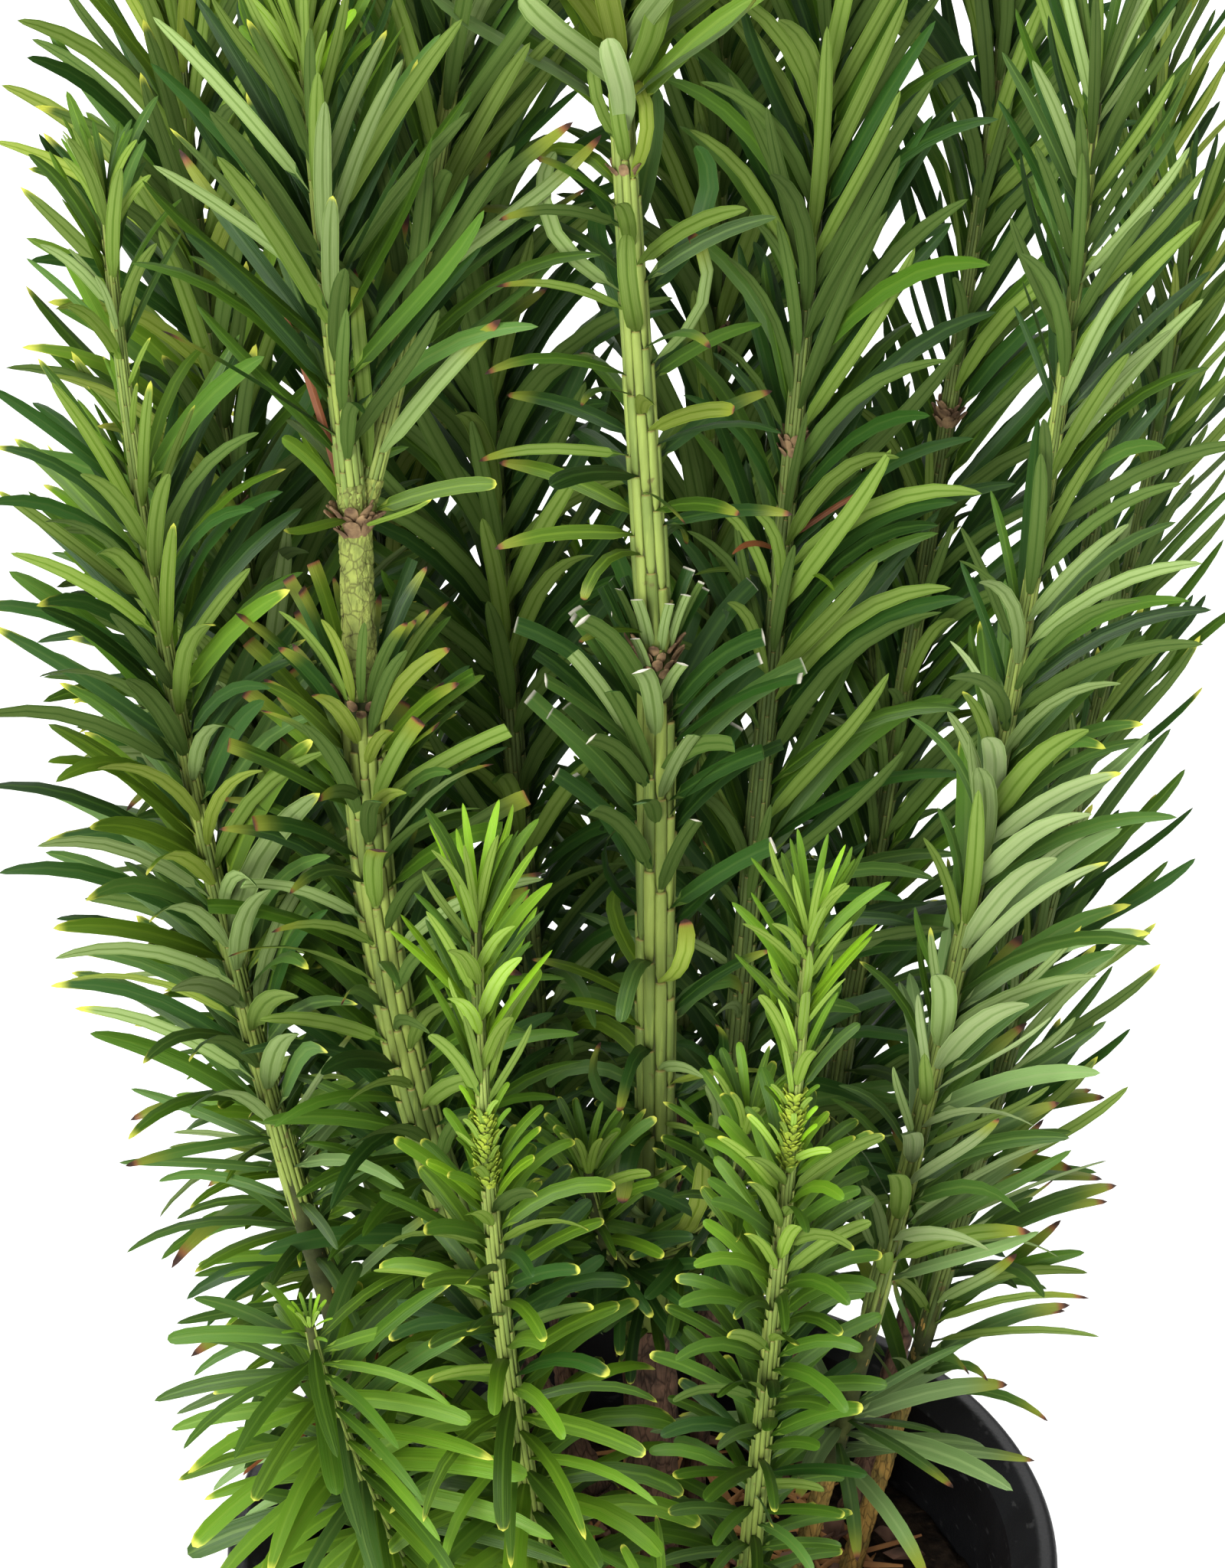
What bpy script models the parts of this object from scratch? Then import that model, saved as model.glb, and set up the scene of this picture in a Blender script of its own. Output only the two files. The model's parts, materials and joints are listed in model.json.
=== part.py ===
"""A potted upright plum yew: nursery pot, potting mix, woody stems and needle-clad shoots.

Run with: blender --background --python part.py
Metres, +Z up. The origin is the centre of the pot's flat underside; the front is -Y.
"""

import math
import random
from collections import namedtuple
from functools import partial

import bmesh
import bpy
import numpy as np
from mathutils import Vector

# The pot
POT_HEIGHT = 0.165
RIM_RADIUS = 0.084
LIP_HEIGHT = 0.013  # of the lip's outer band
LIP_SLOPE = (0.0042, 0.0052)  # width and drop of the slope from the lip's top to the inner wall
LIP_TOP = 0.0048  # width of the lip's flat top
LIP_EDGE = 0.0018  # how much its two edges are rounded off
WALL = 0.0021
BASE_RADIUS = 0.064
BASE_EDGE = 0.0030
FLOOR = 0.0026
SKIRT_HEIGHT = 0.012  # where the straight wall meets the foot
POT_SIDES = 48
AXIS_MERGE = 0.00005
DRAIN_HOLES = 6
DRAIN_SIZE = (0.012, 0.013, 0.009)  # through the wall, along it and high
DRAIN_CENTRE = 0.0095

# The potting mix
SOIL_TOP = 0.139
SOIL_SAG = 0.002  # how much lower it lies at the wall
SOIL_LEVEL = 0.050  # the radius up to which it is level

# Where two pieces meet
SEAM = 0.0003
CAP_WELD = 0.00001

# The stems
LIMB_STEP = 0.022  # between the rings of a limb
MASS_STEP = 0.026  # between the rings of a shoot
CLEARANCE = 0.0015  # a branch is a piece of its own from where it is this far clear of what bears it
LINE_STEPS = 24
TWIG_STEPS = 8
TWIG_RADIUS = 0.0021
TWIG_LEAN = 55  # degrees from the stem at which a twig leaves it
FLARE = 1.55  # how much wider a stem is at the soil
FLARE_HEIGHT = 0.006
TIP_RADIUS = 0.0011

# The needles. Few and wide here, so that each stands for several
NEEDLE_PITCH = 0.0085  # along the stem from one needle to the next
NEEDLE_WIDTH = 0.0064
NEEDLE_KEEL = 0.0015
TWIG_NEEDLE = 0.62  # a twig's needles to its shoot's
NEEDLE_LEAST = 0.012  # a needle that would have to be shorter is left out
GOLDEN_ANGLE = math.radians(137.508)
TOP_NEEDLES = 2  # those that go on past the stem's tip, nearly upright
TIP_SINK = 0.003  # how far under the stem's tip they are rooted
SHORTER_AT_TIP = 0.45
ANGLE_VARIES = 5
LEAST_ANGLE = 12
SAMPLE = 0.003  # between the points at which the room round a stem is measured
# A needle with no room is turned up along its stem, and made shorter only after that
SHORTER = (1.0, 0.86, 0.72, 0.6, 0.48, 0.38, 0.3)
UPWARD = (0, 12, 24, 36)
NEEDLE_TRIES = tuple((shorter, upward) for shorter in SHORTER for upward in UPWARD)
SHOULDER = 0.6  # the share of a needle's length where it is widest
ROOT_SHARE = 0.4  # its width at the root to that at the shoulder
CHECKED = ((0.35, 0.8), (0.6, 1.0), (0.8, 0.5), (1.0, 0.1))  # (share of the length, of the width)

# One row is one shoot, from its foot to its tip. foot and tip are (x, y, height), the foot's height
# being left out where it stands on the potting mix; parent is what it springs from. bow says how much
# faster than a straight line it swings out at first. bare is the share of it, from the foot, that has
# no needles and is a limb of its own. radius is the stem's at the foot, needle the length of its longest
# needles, spread the angles of needle to stem at the shoot's foot and tip, and curl how far a needle
# bends over. A twig of it is (share of the stem, compass angle from the right, length).
Shoot = namedtuple("Shoot", "name parent foot tip bow bare radius needle spread curl twigs")

SHOOTS = (
    Shoot("leader_lower", "trunk", (0.002, 0.003, 0.212), (0.000, 0.002, 0.360), 1.0, 0.00, 0.0042,
          0.037, (68, 38), 22, ((0.08, 235, 0.046), (0.12, 310, 0.050))),
    Shoot("leader_upper", "leader_lower", (0.000, 0.002, 0.360), (-0.011, 0.004, 0.512), 1.0, 0.00, 0.0036,
          0.044, (74, 20), 16, ()),
    Shoot("front_left", "soil", (-0.011, -0.034), (-0.030, -0.042, 0.330), 2.0, 0.10, 0.0038,
          0.028, (76, 24), 42, ()),
    Shoot("front_right", "soil", (0.018, -0.031), (0.026, -0.039, 0.326), 1.1, 0.14, 0.0038,
          0.025, (76, 24), 40, ()),
    Shoot("front_low", "soil", (0.001, -0.046), (0.003, -0.060, 0.200), 1.2, 0.18, 0.0028,
          0.022, (70, 34), 26, ()),
    Shoot("left_fan", "soil", (-0.030, -0.024), (-0.060, -0.050, 0.252), 1.3, 0.18, 0.0034,
          0.036, (78, 34), 24, ()),
    Shoot("left_outer", "soil", (-0.040, -0.003), (-0.090, -0.006, 0.442), 1.7, 0.12, 0.0046,
          0.043, (84, 22), 24, ()),
    Shoot("left_slim", "soil", (-0.046, 0.018), (-0.078, 0.020, 0.300), 1.3, 0.22, 0.0026,
          0.027, (70, 26), 24, ()),
    Shoot("left_mid", "trunk", (0.000, 0.003, 0.158), (-0.051, -0.010, 0.356), 2.2, 0.30, 0.0044,
          0.036, (78, 40), 22, ()),
    Shoot("left_mid_front", "left_fork", (-0.051, -0.010, 0.386), (-0.056, -0.018, 0.470), 1.0, 0.00, 0.0032,
          0.045, (58, 20), 20, ()),
    Shoot("left_mid_back", "left_fork", (-0.051, -0.010, 0.386), (-0.031, 0.008, 0.496), 1.6, 0.00, 0.0030,
          0.045, (58, 20), 20, ()),
    Shoot("right_outer", "soil", (0.028, -0.004), (0.068, -0.008, 0.460), 1.65, 0.14, 0.0046,
          0.043, (86, 22), 22, ()),
    Shoot("far_right", "soil", (0.044, 0.016), (0.091, 0.026, 0.424), 1.4, 0.16, 0.0042,
          0.043, (78, 22), 20, ()),
    Shoot("right_mid", "soil", (0.010, 0.024), (0.030, 0.022, 0.500), 1.0, 0.20, 0.0042,
          0.045, (76, 20), 20, ()),
    Shoot("back_right", "soil", (0.026, 0.034), (0.062, 0.052, 0.486), 1.2, 0.16, 0.0042,
          0.045, (76, 20), 20, ((0.42, 100, 0.060),)),
    Shoot("back_far_right", "soil", (0.046, 0.036), (0.092, 0.070, 0.450), 1.6, 0.16, 0.0042,
          0.043, (78, 22), 20, ()),
    Shoot("back_centre", "trunk", (0.001, 0.005, 0.170), (0.012, 0.078, 0.494), 2.6, 0.24, 0.0042,
          0.045, (76, 20), 20, ((0.35, 60, 0.060),)),
    Shoot("back_left_mid", "soil", (-0.013, 0.030), (-0.036, 0.052, 0.506), 1.3, 0.16, 0.0042,
          0.045, (76, 20), 20, ()),
    Shoot("back_left", "soil", (-0.036, 0.030), (-0.084, 0.044, 0.470), 1.7, 0.16, 0.0044,
          0.044, (78, 22), 20, ((0.45, 150, 0.060),)),
    Shoot("back_rear_left", "soil", (-0.026, 0.048), (-0.058, 0.092, 0.430), 1.6, 0.16, 0.0040,
          0.042, (78, 22), 22, ()),
    Shoot("back_low_centre", "soil", (0.000, 0.052), (-0.012, 0.092, 0.330), 1.6, 0.14, 0.0036,
          0.030, (76, 26), 34, ()),
    Shoot("back_low_right", "soil", (0.026, 0.056), (0.048, 0.094, 0.350), 1.6, 0.14, 0.0036,
          0.034, (76, 26), 30, ()),
)

TRUNK_FOOT = Vector((0.0015, 0.0045, SOIL_TOP))
TRUNK_TOP = Vector((0.002, 0.003, 0.212))
TRUNK_RADII = (0.0062, 0.0047)  # above the root flare, and at the top

# The bare piece of the left stem, between its lower needles and its fork
FORK_FOOT = Vector((-0.051, -0.010, 0.356))
FORK_TOP = Vector((-0.051, -0.010, 0.388))
FORK_RADII = (0.0041, 0.0038)

# The shoots that carry on from the very end of their parent, with only a seam between the two
CARRY_ON = ("leader_lower", "leader_upper")
# The stem's radius at the top of a shoot that another piece goes on from
TOP_RADIUS = {"leader_lower": 0.0036, "left_mid": FORK_RADII[0]}

SHARP_ANGLE = math.radians(40)
BARK = (0.16, 0.10, 0.062)
GREEN_BARK = (0.27, 0.30, 0.09)
NEEDLE_GREEN = (0.065, 0.19, 0.035)
YOUNG_GREEN = (0.14, 0.32, 0.035)
YOUNG_SHOOTS = ("front_left", "front_right", "front_low", "left_slim")


def clear_scene():
    for obj in list(bpy.data.objects):
        bpy.data.objects.remove(obj, do_unlink=True)


def material(name, colour, roughness):
    made = bpy.data.materials.new(name)
    made.use_nodes = True
    shader = made.node_tree.nodes["Principled BSDF"]
    shader.inputs["Base Color"].default_value = (*colour, 1.0)
    shader.inputs["Roughness"].default_value = roughness
    shader.inputs["Metallic"].default_value = 0.0
    return made


class Spine:
    """The middle line of a stem: points, the length up to each, and the stem's radius anywhere on it."""

    def __init__(self, points, radii):
        self.points = points
        self.radii = radii
        self.lengths = [0.0]
        for a, b in zip(points, points[1:]):
            self.lengths.append(self.lengths[-1] + (b - a).length)
        self.length = self.lengths[-1]

    def at(self, distance):
        """The point, the direction and the radius at this distance from the foot."""
        distance = min(max(distance, 0.0), self.length)
        for i in range(len(self.points) - 1):
            if distance <= self.lengths[i + 1] or i == len(self.points) - 2:
                share = (distance - self.lengths[i]) / (self.lengths[i + 1] - self.lengths[i])
                a, b = self.points[i], self.points[i + 1]
                radius = self.radii[0] + (self.radii[1] - self.radii[0]) * distance / self.length
                return a.lerp(b, share), (b - a).normalized(), radius

    def part(self, start, end):
        """The stretch from one distance to another, as a spine of its own."""
        inner = [p for p, s in zip(self.points, self.lengths) if start + 1e-4 < s < end - 1e-4]
        first, last = self.at(start), self.at(end)
        return Spine([first[0], *inner, last[0]], (first[2], last[2]))

    def resampled(self, step):
        count = max(2, round(self.length / step))
        return Spine([self.at(self.length * i / count)[0] for i in range(count + 1)], self.radii)


def whole_spine(shoot):
    """A shoot's line from foot to tip: it leaves its foot leaning out, and straightens as it rises."""
    foot = Vector(shoot.foot if len(shoot.foot) == 3 else (*shoot.foot, SOIL_TOP))
    tip = Vector(shoot.tip)
    points = []
    for i in range(LINE_STEPS + 1):
        share = i / LINE_STEPS
        out = 1.0 - (1.0 - share) ** shoot.bow
        points.append(Vector((
            foot.x + (tip.x - foot.x) * out,
            foot.y + (tip.y - foot.y) * out,
            foot.z + (tip.z - foot.z) * share,
        )))
    return Spine(points, (shoot.radius, TOP_RADIUS.get(shoot.name, TIP_RADIUS)))


def tube(name, spine, step, resolution, flare=False):
    """A closed tapering mesh along a spine, from a curve with a round bevel."""
    run = (spine.part(FLARE_HEIGHT, spine.length) if flare else spine).resampled(step)
    points = [(p, run.at(s)[2]) for p, s in zip(run.points, run.lengths)]
    if flare:
        for height in (FLARE_HEIGHT / 3, SEAM):  # the first stretch is upright, so that the foot lies flat
            points.insert(0, (spine.points[0] + Vector((0, 0, height)), spine.radii[0] * FLARE))
    curve = bpy.data.curves.new(name, "CURVE")
    curve.dimensions = "3D"
    curve.bevel_depth = 1.0  # a point's radius is then the stem's, in metres
    curve.bevel_resolution = resolution
    curve.use_fill_caps = True
    spline = curve.splines.new("POLY")
    spline.points.add(len(points) - 1)
    for point, (place, radius) in zip(spline.points, points):
        point.co = (*place, 1.0)
        point.radius = radius
    source = bpy.data.objects.new(name + "_line", curve)
    bpy.context.scene.collection.objects.link(source)
    bpy.context.view_layer.update()
    graph = bpy.context.evaluated_depsgraph_get()
    mesh = bpy.data.meshes.new_from_object(source.evaluated_get(graph))
    bpy.data.objects.remove(source)
    bpy.data.curves.remove(curve)
    form = bmesh.new()
    form.from_mesh(mesh)
    bmesh.ops.remove_doubles(form, verts=form.verts, dist=CAP_WELD)
    bmesh.ops.recalc_face_normals(form, faces=form.faces)
    form.to_mesh(mesh)
    form.free()
    return bpy.data.objects.new(name, mesh)


def fuse(body, pieces, keep_in):
    """Joins the pieces to the body by one Boolean union, and takes the pieces away."""
    keep_in.objects.link(body)
    if pieces:
        group = bpy.data.collections.new(body.name + "_pieces")
        bpy.context.scene.collection.children.link(group)
        for piece in pieces:
            group.objects.link(piece)
        union = body.modifiers.new("union", "BOOLEAN")
        union.operation = "UNION"
        union.operand_type = "COLLECTION"
        union.collection = group
        union.solver = "MANIFOLD"
        bpy.context.view_layer.update()
        graph = bpy.context.evaluated_depsgraph_get()
        joined = bpy.data.meshes.new_from_object(body.evaluated_get(graph))
        body.modifiers.clear()
        keep_largest(joined)
        body.data = joined
        for piece in pieces:
            bpy.data.objects.remove(piece)
        bpy.data.collections.remove(group)
    return body


def keep_largest(mesh):
    """Takes away the crumbs and sealed hollows that a union of many needles can leave."""
    form = bmesh.new()
    form.from_mesh(mesh)
    waiting, islands = set(form.verts), []
    while waiting:
        island, edge = set(), [waiting.pop()]
        while edge:
            vertex = edge.pop()
            island.add(vertex)
            for link in vertex.link_edges:
                other = link.other_vert(vertex)
                if other in waiting:
                    waiting.discard(other)
                    edge.append(other)
        islands.append(island)
    islands.sort(key=len)
    for island in islands[:-1]:
        bmesh.ops.delete(form, geom=list(island), context="VERTS")
    form.to_mesh(mesh)
    form.free()


def wall_radius(height):
    """The pot's inner wall, from the floor to the foot of the lip's slope."""
    top = RIM_RADIUS - LIP_TOP - LIP_SLOPE[0]
    foot = BASE_RADIUS - WALL
    return foot + (top - foot) * height / (POT_HEIGHT - LIP_SLOPE[1])


def turned(name, profile, collection, finish):
    """A solid turned about Z from a profile of (radius, height)."""
    mesh = bpy.data.meshes.new(name)
    edges = [(i, i + 1) for i in range(len(profile) - 1)]
    mesh.from_pydata([(radius, 0.0, height) for radius, height in profile], edges, [])
    solid = bpy.data.objects.new(name, mesh)
    collection.objects.link(solid)
    turn = solid.modifiers.new("turn", "SCREW")
    turn.steps = turn.render_steps = POT_SIDES
    turn.use_merge_vertices = True
    turn.merge_threshold = AXIS_MERGE
    turn.use_smooth_shade = False
    solid.data.materials.append(finish)
    return solid


def make_pot(collection, finish):
    """A turned shell with a heavy rolled lip, and drain holes round its foot."""
    slope_width, slope_drop = LIP_SLOPE
    under_lip = POT_HEIGHT - LIP_HEIGHT
    pot = turned("pot", [
        (0.0, FLOOR),
        (wall_radius(FLOOR), FLOOR),
        (RIM_RADIUS - LIP_TOP - slope_width, POT_HEIGHT - slope_drop),
        (RIM_RADIUS - LIP_TOP, POT_HEIGHT - LIP_EDGE / 4),
        (RIM_RADIUS - LIP_TOP + LIP_EDGE / 2, POT_HEIGHT),
        (RIM_RADIUS - LIP_EDGE, POT_HEIGHT - LIP_EDGE / 6),
        (RIM_RADIUS, POT_HEIGHT - LIP_EDGE),
        (RIM_RADIUS - LIP_EDGE / 4, under_lip),
        (wall_radius(under_lip) + WALL, under_lip - WALL / 2),
        (wall_radius(SKIRT_HEIGHT) + WALL, SKIRT_HEIGHT),
        (BASE_RADIUS - BASE_EDGE / 3, BASE_EDGE / 3),
        (BASE_RADIUS - BASE_EDGE, 0.0),
        (0.0, 0.0),
    ], collection, finish)
    holes = bpy.data.collections.new("drain_hole_cutters")
    bpy.context.scene.collection.children.link(holes)
    for i in range(DRAIN_HOLES):
        angle = math.tau * (i + 0.5) / DRAIN_HOLES
        place = (wall_radius(0.0) * math.cos(angle), wall_radius(0.0) * math.sin(angle), DRAIN_CENTRE)
        bpy.ops.mesh.primitive_cube_add(size=1.0, location=place, rotation=(0.0, 0.0, angle), scale=DRAIN_SIZE)
        cutter = bpy.context.object
        cutter.name = f"drain_cutter_{i + 1}"
        cutter.hide_render = True
        cutter.display_type = "WIRE"
        for owner in list(cutter.users_collection):
            owner.objects.unlink(cutter)
        holes.objects.link(cutter)
    cut = pot.modifiers.new("drain", "BOOLEAN")
    cut.operation = "DIFFERENCE"
    cut.operand_type = "COLLECTION"
    cut.collection = holes
    cut.solver = "EXACT"


def make_soil(collection, finish):
    """The mix fills the pot from its floor to a little under the rim, as one turned body."""
    low, side = FLOOR + SEAM, SOIL_TOP - SOIL_SAG
    turned("potting_mix", [
        (0.0, SOIL_TOP),
        (SOIL_LEVEL, SOIL_TOP),
        (wall_radius(side) - SEAM, side),
        (wall_radius(low) - SEAM, low),
        (0.0, low),
    ], collection, finish)


def clear_of(line, others):
    """How far along the line, from its foot, it is clear of the others for the first time."""
    for step in range(1, 200):
        distance = step * 0.0005
        place, _, radius = line.at(distance)
        if all(
            (place - other.at(s)[0]).length > radius + other.at(s)[2] + CLEARANCE
            for other in others
            for s in np.arange(0.0, other.length + 0.001, 0.001)
        ):
            return distance
    raise ValueError("the line never gets clear")


class Layout:
    """Where each piece of the plant runs: the lines of trunk, fork, limbs, masses and twigs."""

    def __init__(self):
        self.shoots = {shoot.name: shoot for shoot in SHOOTS}
        self.whole = {shoot.name: whole_spine(shoot) for shoot in SHOOTS}
        self.bearers = {
            "trunk": Spine([TRUNK_FOOT, TRUNK_TOP], TRUNK_RADII),
            "left_fork": Spine([FORK_FOOT + Vector((0, 0, SEAM)), FORK_TOP], FORK_RADII),
        }
        self.collars, self.limbs, self.masses, self.twigs = {}, {}, {}, {}
        for name, shoot in self.shoots.items():
            line = self.whole[name]
            start = 0.0
            if shoot.name in CARRY_ON:
                start = SEAM
            elif shoot.parent in self.bearers:
                beside = [self.whole[s.name] for s in SHOOTS if s.foot == shoot.foot and s is not shoot]
                start = clear_of(line, [self.bearers[shoot.parent], *beside])
                self.collars[name] = line.part(0.0, start - SEAM)
            bare_to = start
            if shoot.bare:
                bare_to = shoot.bare * line.length
                self.limbs[name] = line.part(start, bare_to - SEAM)
            self.masses[name] = line.part(bare_to, line.length)
            self.twigs[name] = [twig_of(self.masses[name], *twig) for twig in shoot.twigs]

    def stubs(self, bearer):
        return [
            tube(f"{name}_collar", line, MASS_STEP / 3, 1)
            for name, line in self.collars.items()
            if self.shoots[name].parent == bearer
        ]


def twig_of(mass, share, compass, length):
    """A side twig: it leaves the mass's stem at a slant and turns upright."""
    foot = mass.at(share * mass.length)[0]
    out = Vector((math.cos(math.radians(compass)), math.sin(math.radians(compass)), 0.0))
    lean = math.radians(TWIG_LEAN)
    points = [foot]
    for i in range(TWIG_STEPS):
        turn = lean * (1 - i / TWIG_STEPS)
        heading = out * math.sin(turn) + Vector((0, 0, math.cos(turn)))
        points.append(points[-1] + heading * (length / TWIG_STEPS))
    return Spine(points, (TWIG_RADIUS, TIP_RADIUS))


def needle_path(base, along, out, length, angle, curl, share):
    """A point on a needle's middle line, an arc that leaves the stem at angle and bends over by curl."""
    turn = math.radians(curl)
    lean = math.radians(angle)
    rise = (math.sin(lean + turn * share) - math.sin(lean)) / turn
    reach = (math.cos(lean) - math.cos(lean + turn * share)) / turn
    return base + (along * rise + out * reach) * length


def make_needle(name, path, side):
    """A keeled blade: a three-sided cone, its top poked out to a tip, bent along the needle's path."""
    form = bmesh.new()
    bmesh.ops.create_cone(form, cap_ends=True, segments=3, radius1=ROOT_SHARE, radius2=1.0, depth=2.0)
    top = max(form.faces, key=lambda face: face.calc_center_median().z)
    tip = bmesh.ops.poke(form, faces=[top])["verts"][0]
    for vertex in form.verts:
        share = SHOULDER if vertex.co.z > 0 else 0.0
        heading = (path(share + 0.02) - path(share)).normalized()
        face = side.cross(heading).normalized()
        across, through = vertex.co.y / 0.866, vertex.co.x
        vertex.co = path(share) + side * (across * NEEDLE_WIDTH / 2) + face * (through * NEEDLE_KEEL)
    tip.co = path(1.0)
    mesh = bpy.data.meshes.new(name)
    form.to_mesh(mesh)
    form.free()
    return bpy.data.objects.new(name, mesh)


def samples(lines):
    """Rows of x, y, z and radius along the lines."""
    rows = []
    for line in lines:
        for distance in np.arange(0, line.length, SAMPLE):
            place, _, radius = line.at(distance)
            rows.append((*place, radius))
        place, _, radius = line.at(line.length)
        rows.append((*place, radius))
    return np.array(rows)


class Room:
    """Says where a needle may be: nearer its own stem than any other, clear of limbs, pot and soil."""

    def __init__(self, layout):
        self.stems = {name: samples([mass, *layout.twigs[name]])[:, :3] for name, mass in layout.masses.items()}
        self.limbs = samples([*layout.bearers.values(), *layout.limbs.values(), *layout.collars.values()])

    def holds(self, name, point, width):
        half = NEEDLE_WIDTH / 2 * width + SEAM
        place = np.array(point[:])
        away = {stem: np.linalg.norm(line - place, axis=1).min() for stem, line in self.stems.items()}
        own = away.pop(name)
        if min(away.values()) - own < 2 * half:
            return False
        if (np.linalg.norm(self.limbs[:, :3] - place, axis=1) - self.limbs[:, 3]).min() < half:
            return False
        if point.z < SOIL_TOP + half:
            return False
        radius = math.hypot(point.x, point.y)
        at_wall = wall_radius(point.z) - half < radius < RIM_RADIUS + half
        return point.z > POT_HEIGHT + half or not at_wall


def needles_of(shoot, stem, room, label, longest):
    """The needles of one stem or twig as objects, set round it by the golden angle, shorter to its tip."""
    chance = random.Random(label)
    start = chance.uniform(0.0, math.tau)
    count = int(stem.length / NEEDLE_PITCH)
    foot_angle, tip_angle = shoot.spread
    made = []
    for i in range(count + TOP_NEEDLES):
        share = min((i + 0.5) / count, 1.0)
        base, along, _ = stem.at(min(share * stem.length, stem.length - TIP_SINK))
        level = along.orthogonal().normalized()
        around = start + i * GOLDEN_ANGLE
        out = level * math.cos(around) + along.cross(level) * math.sin(around)
        angle = foot_angle + (tip_angle - foot_angle) * share + chance.uniform(-ANGLE_VARIES, ANGLE_VARIES)
        if i >= count:
            angle = LEAST_ANGLE
        length = longest * (1 - SHORTER_AT_TIP * share ** 3) * chance.uniform(0.94, 1.06)
        curl = shoot.curl * chance.uniform(0.6, 1.2)
        for shorter, upward in NEEDLE_TRIES:
            long, lean = length * shorter, max(angle - upward, LEAST_ANGLE)
            if long < NEEDLE_LEAST:
                break
            path = partial(needle_path, base, along, out, long, lean, curl)
            if all(room.holds(shoot.name, path(at), width) for at, width in CHECKED):
                made.append(make_needle(f"{label}_needle_{i}", path, along.cross(out)))
                break
    return made


def shade(obj, finish):
    obj.data.materials.clear()
    obj.data.materials.append(finish)
    obj.data.shade_smooth()
    obj.data.set_sharp_from_angle(angle=SHARP_ANGLE)


def main():
    clear_scene()
    plant = bpy.data.collections.new("potted_plum_yew")
    bpy.context.scene.collection.children.link(plant)
    bark = material("bark", BARK, 0.9)
    green_bark = material("green_bark", GREEN_BARK, 0.7)
    needle = material("needles", NEEDLE_GREEN, 0.45)
    young = material("young_needles", YOUNG_GREEN, 0.4)
    make_pot(plant, material("black_plastic", (0.022, 0.022, 0.024), 0.5))
    make_soil(plant, material("potting_mix", (0.035, 0.024, 0.016), 0.95))

    layout = Layout()
    room = Room(layout)
    trunk = tube("trunk", layout.bearers["trunk"], LIMB_STEP, 2, flare=True)
    shade(fuse(trunk, layout.stubs("trunk"), plant), bark)
    fork = tube("left_fork", layout.bearers["left_fork"], LIMB_STEP, 1)
    shade(fuse(fork, layout.stubs("left_fork"), plant), green_bark)
    for name, limb in layout.limbs.items():
        stem = tube(f"{name}_stem", limb, LIMB_STEP, 1, flare=layout.shoots[name].parent == "soil")
        shade(fuse(stem, [], plant), bark if name not in YOUNG_SHOOTS else green_bark)
    for name, mass in layout.masses.items():
        shoot = layout.shoots[name]
        pieces = needles_of(shoot, mass, room, name, shoot.needle)
        for i, twig in enumerate(layout.twigs[name]):
            label = f"{name}_twig_{i + 1}"
            pieces.append(tube(label, twig, MASS_STEP, 0))
            pieces += needles_of(shoot, twig, room, label, shoot.needle * TWIG_NEEDLE)
        fused = fuse(tube(name, mass, MASS_STEP, 0), pieces, plant)
        shade(fused, young if name in YOUNG_SHOOTS else needle)


main()
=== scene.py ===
"""The looks of a potted upright plum yew: bark, ribbed shoots, needles, pot and potting mix.

Metres, +Z up. The origin is the centre of the pot's flat underside; the front is -Y.
"""

import json
import math
import random
from collections import namedtuple

import bmesh
import bpy
import numpy as np
from mathutils import Matrix, Vector
from mathutils.kdtree import KDTree

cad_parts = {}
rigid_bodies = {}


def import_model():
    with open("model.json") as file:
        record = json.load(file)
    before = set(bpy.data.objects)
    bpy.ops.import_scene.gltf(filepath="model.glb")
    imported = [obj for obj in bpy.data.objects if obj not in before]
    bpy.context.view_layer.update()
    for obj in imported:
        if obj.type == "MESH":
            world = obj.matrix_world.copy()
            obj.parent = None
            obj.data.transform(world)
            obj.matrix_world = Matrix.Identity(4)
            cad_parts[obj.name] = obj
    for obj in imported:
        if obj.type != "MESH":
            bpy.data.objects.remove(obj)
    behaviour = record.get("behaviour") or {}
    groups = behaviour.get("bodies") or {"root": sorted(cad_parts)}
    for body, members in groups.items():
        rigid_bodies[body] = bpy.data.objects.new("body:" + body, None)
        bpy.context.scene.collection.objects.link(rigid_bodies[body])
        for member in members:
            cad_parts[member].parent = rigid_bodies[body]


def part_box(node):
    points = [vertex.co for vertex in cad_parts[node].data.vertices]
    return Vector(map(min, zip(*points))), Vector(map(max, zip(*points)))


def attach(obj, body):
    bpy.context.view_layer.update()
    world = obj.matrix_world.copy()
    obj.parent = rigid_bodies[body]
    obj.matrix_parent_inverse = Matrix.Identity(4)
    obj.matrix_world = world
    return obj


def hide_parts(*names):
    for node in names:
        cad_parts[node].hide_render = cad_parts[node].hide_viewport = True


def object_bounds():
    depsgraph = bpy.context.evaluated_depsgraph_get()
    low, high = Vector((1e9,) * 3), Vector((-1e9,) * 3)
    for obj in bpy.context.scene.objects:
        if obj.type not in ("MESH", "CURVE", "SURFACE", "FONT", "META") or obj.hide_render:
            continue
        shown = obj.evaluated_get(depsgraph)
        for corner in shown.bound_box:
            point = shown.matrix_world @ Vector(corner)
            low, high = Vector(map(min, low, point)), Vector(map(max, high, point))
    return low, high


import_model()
cad_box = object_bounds()

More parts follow.
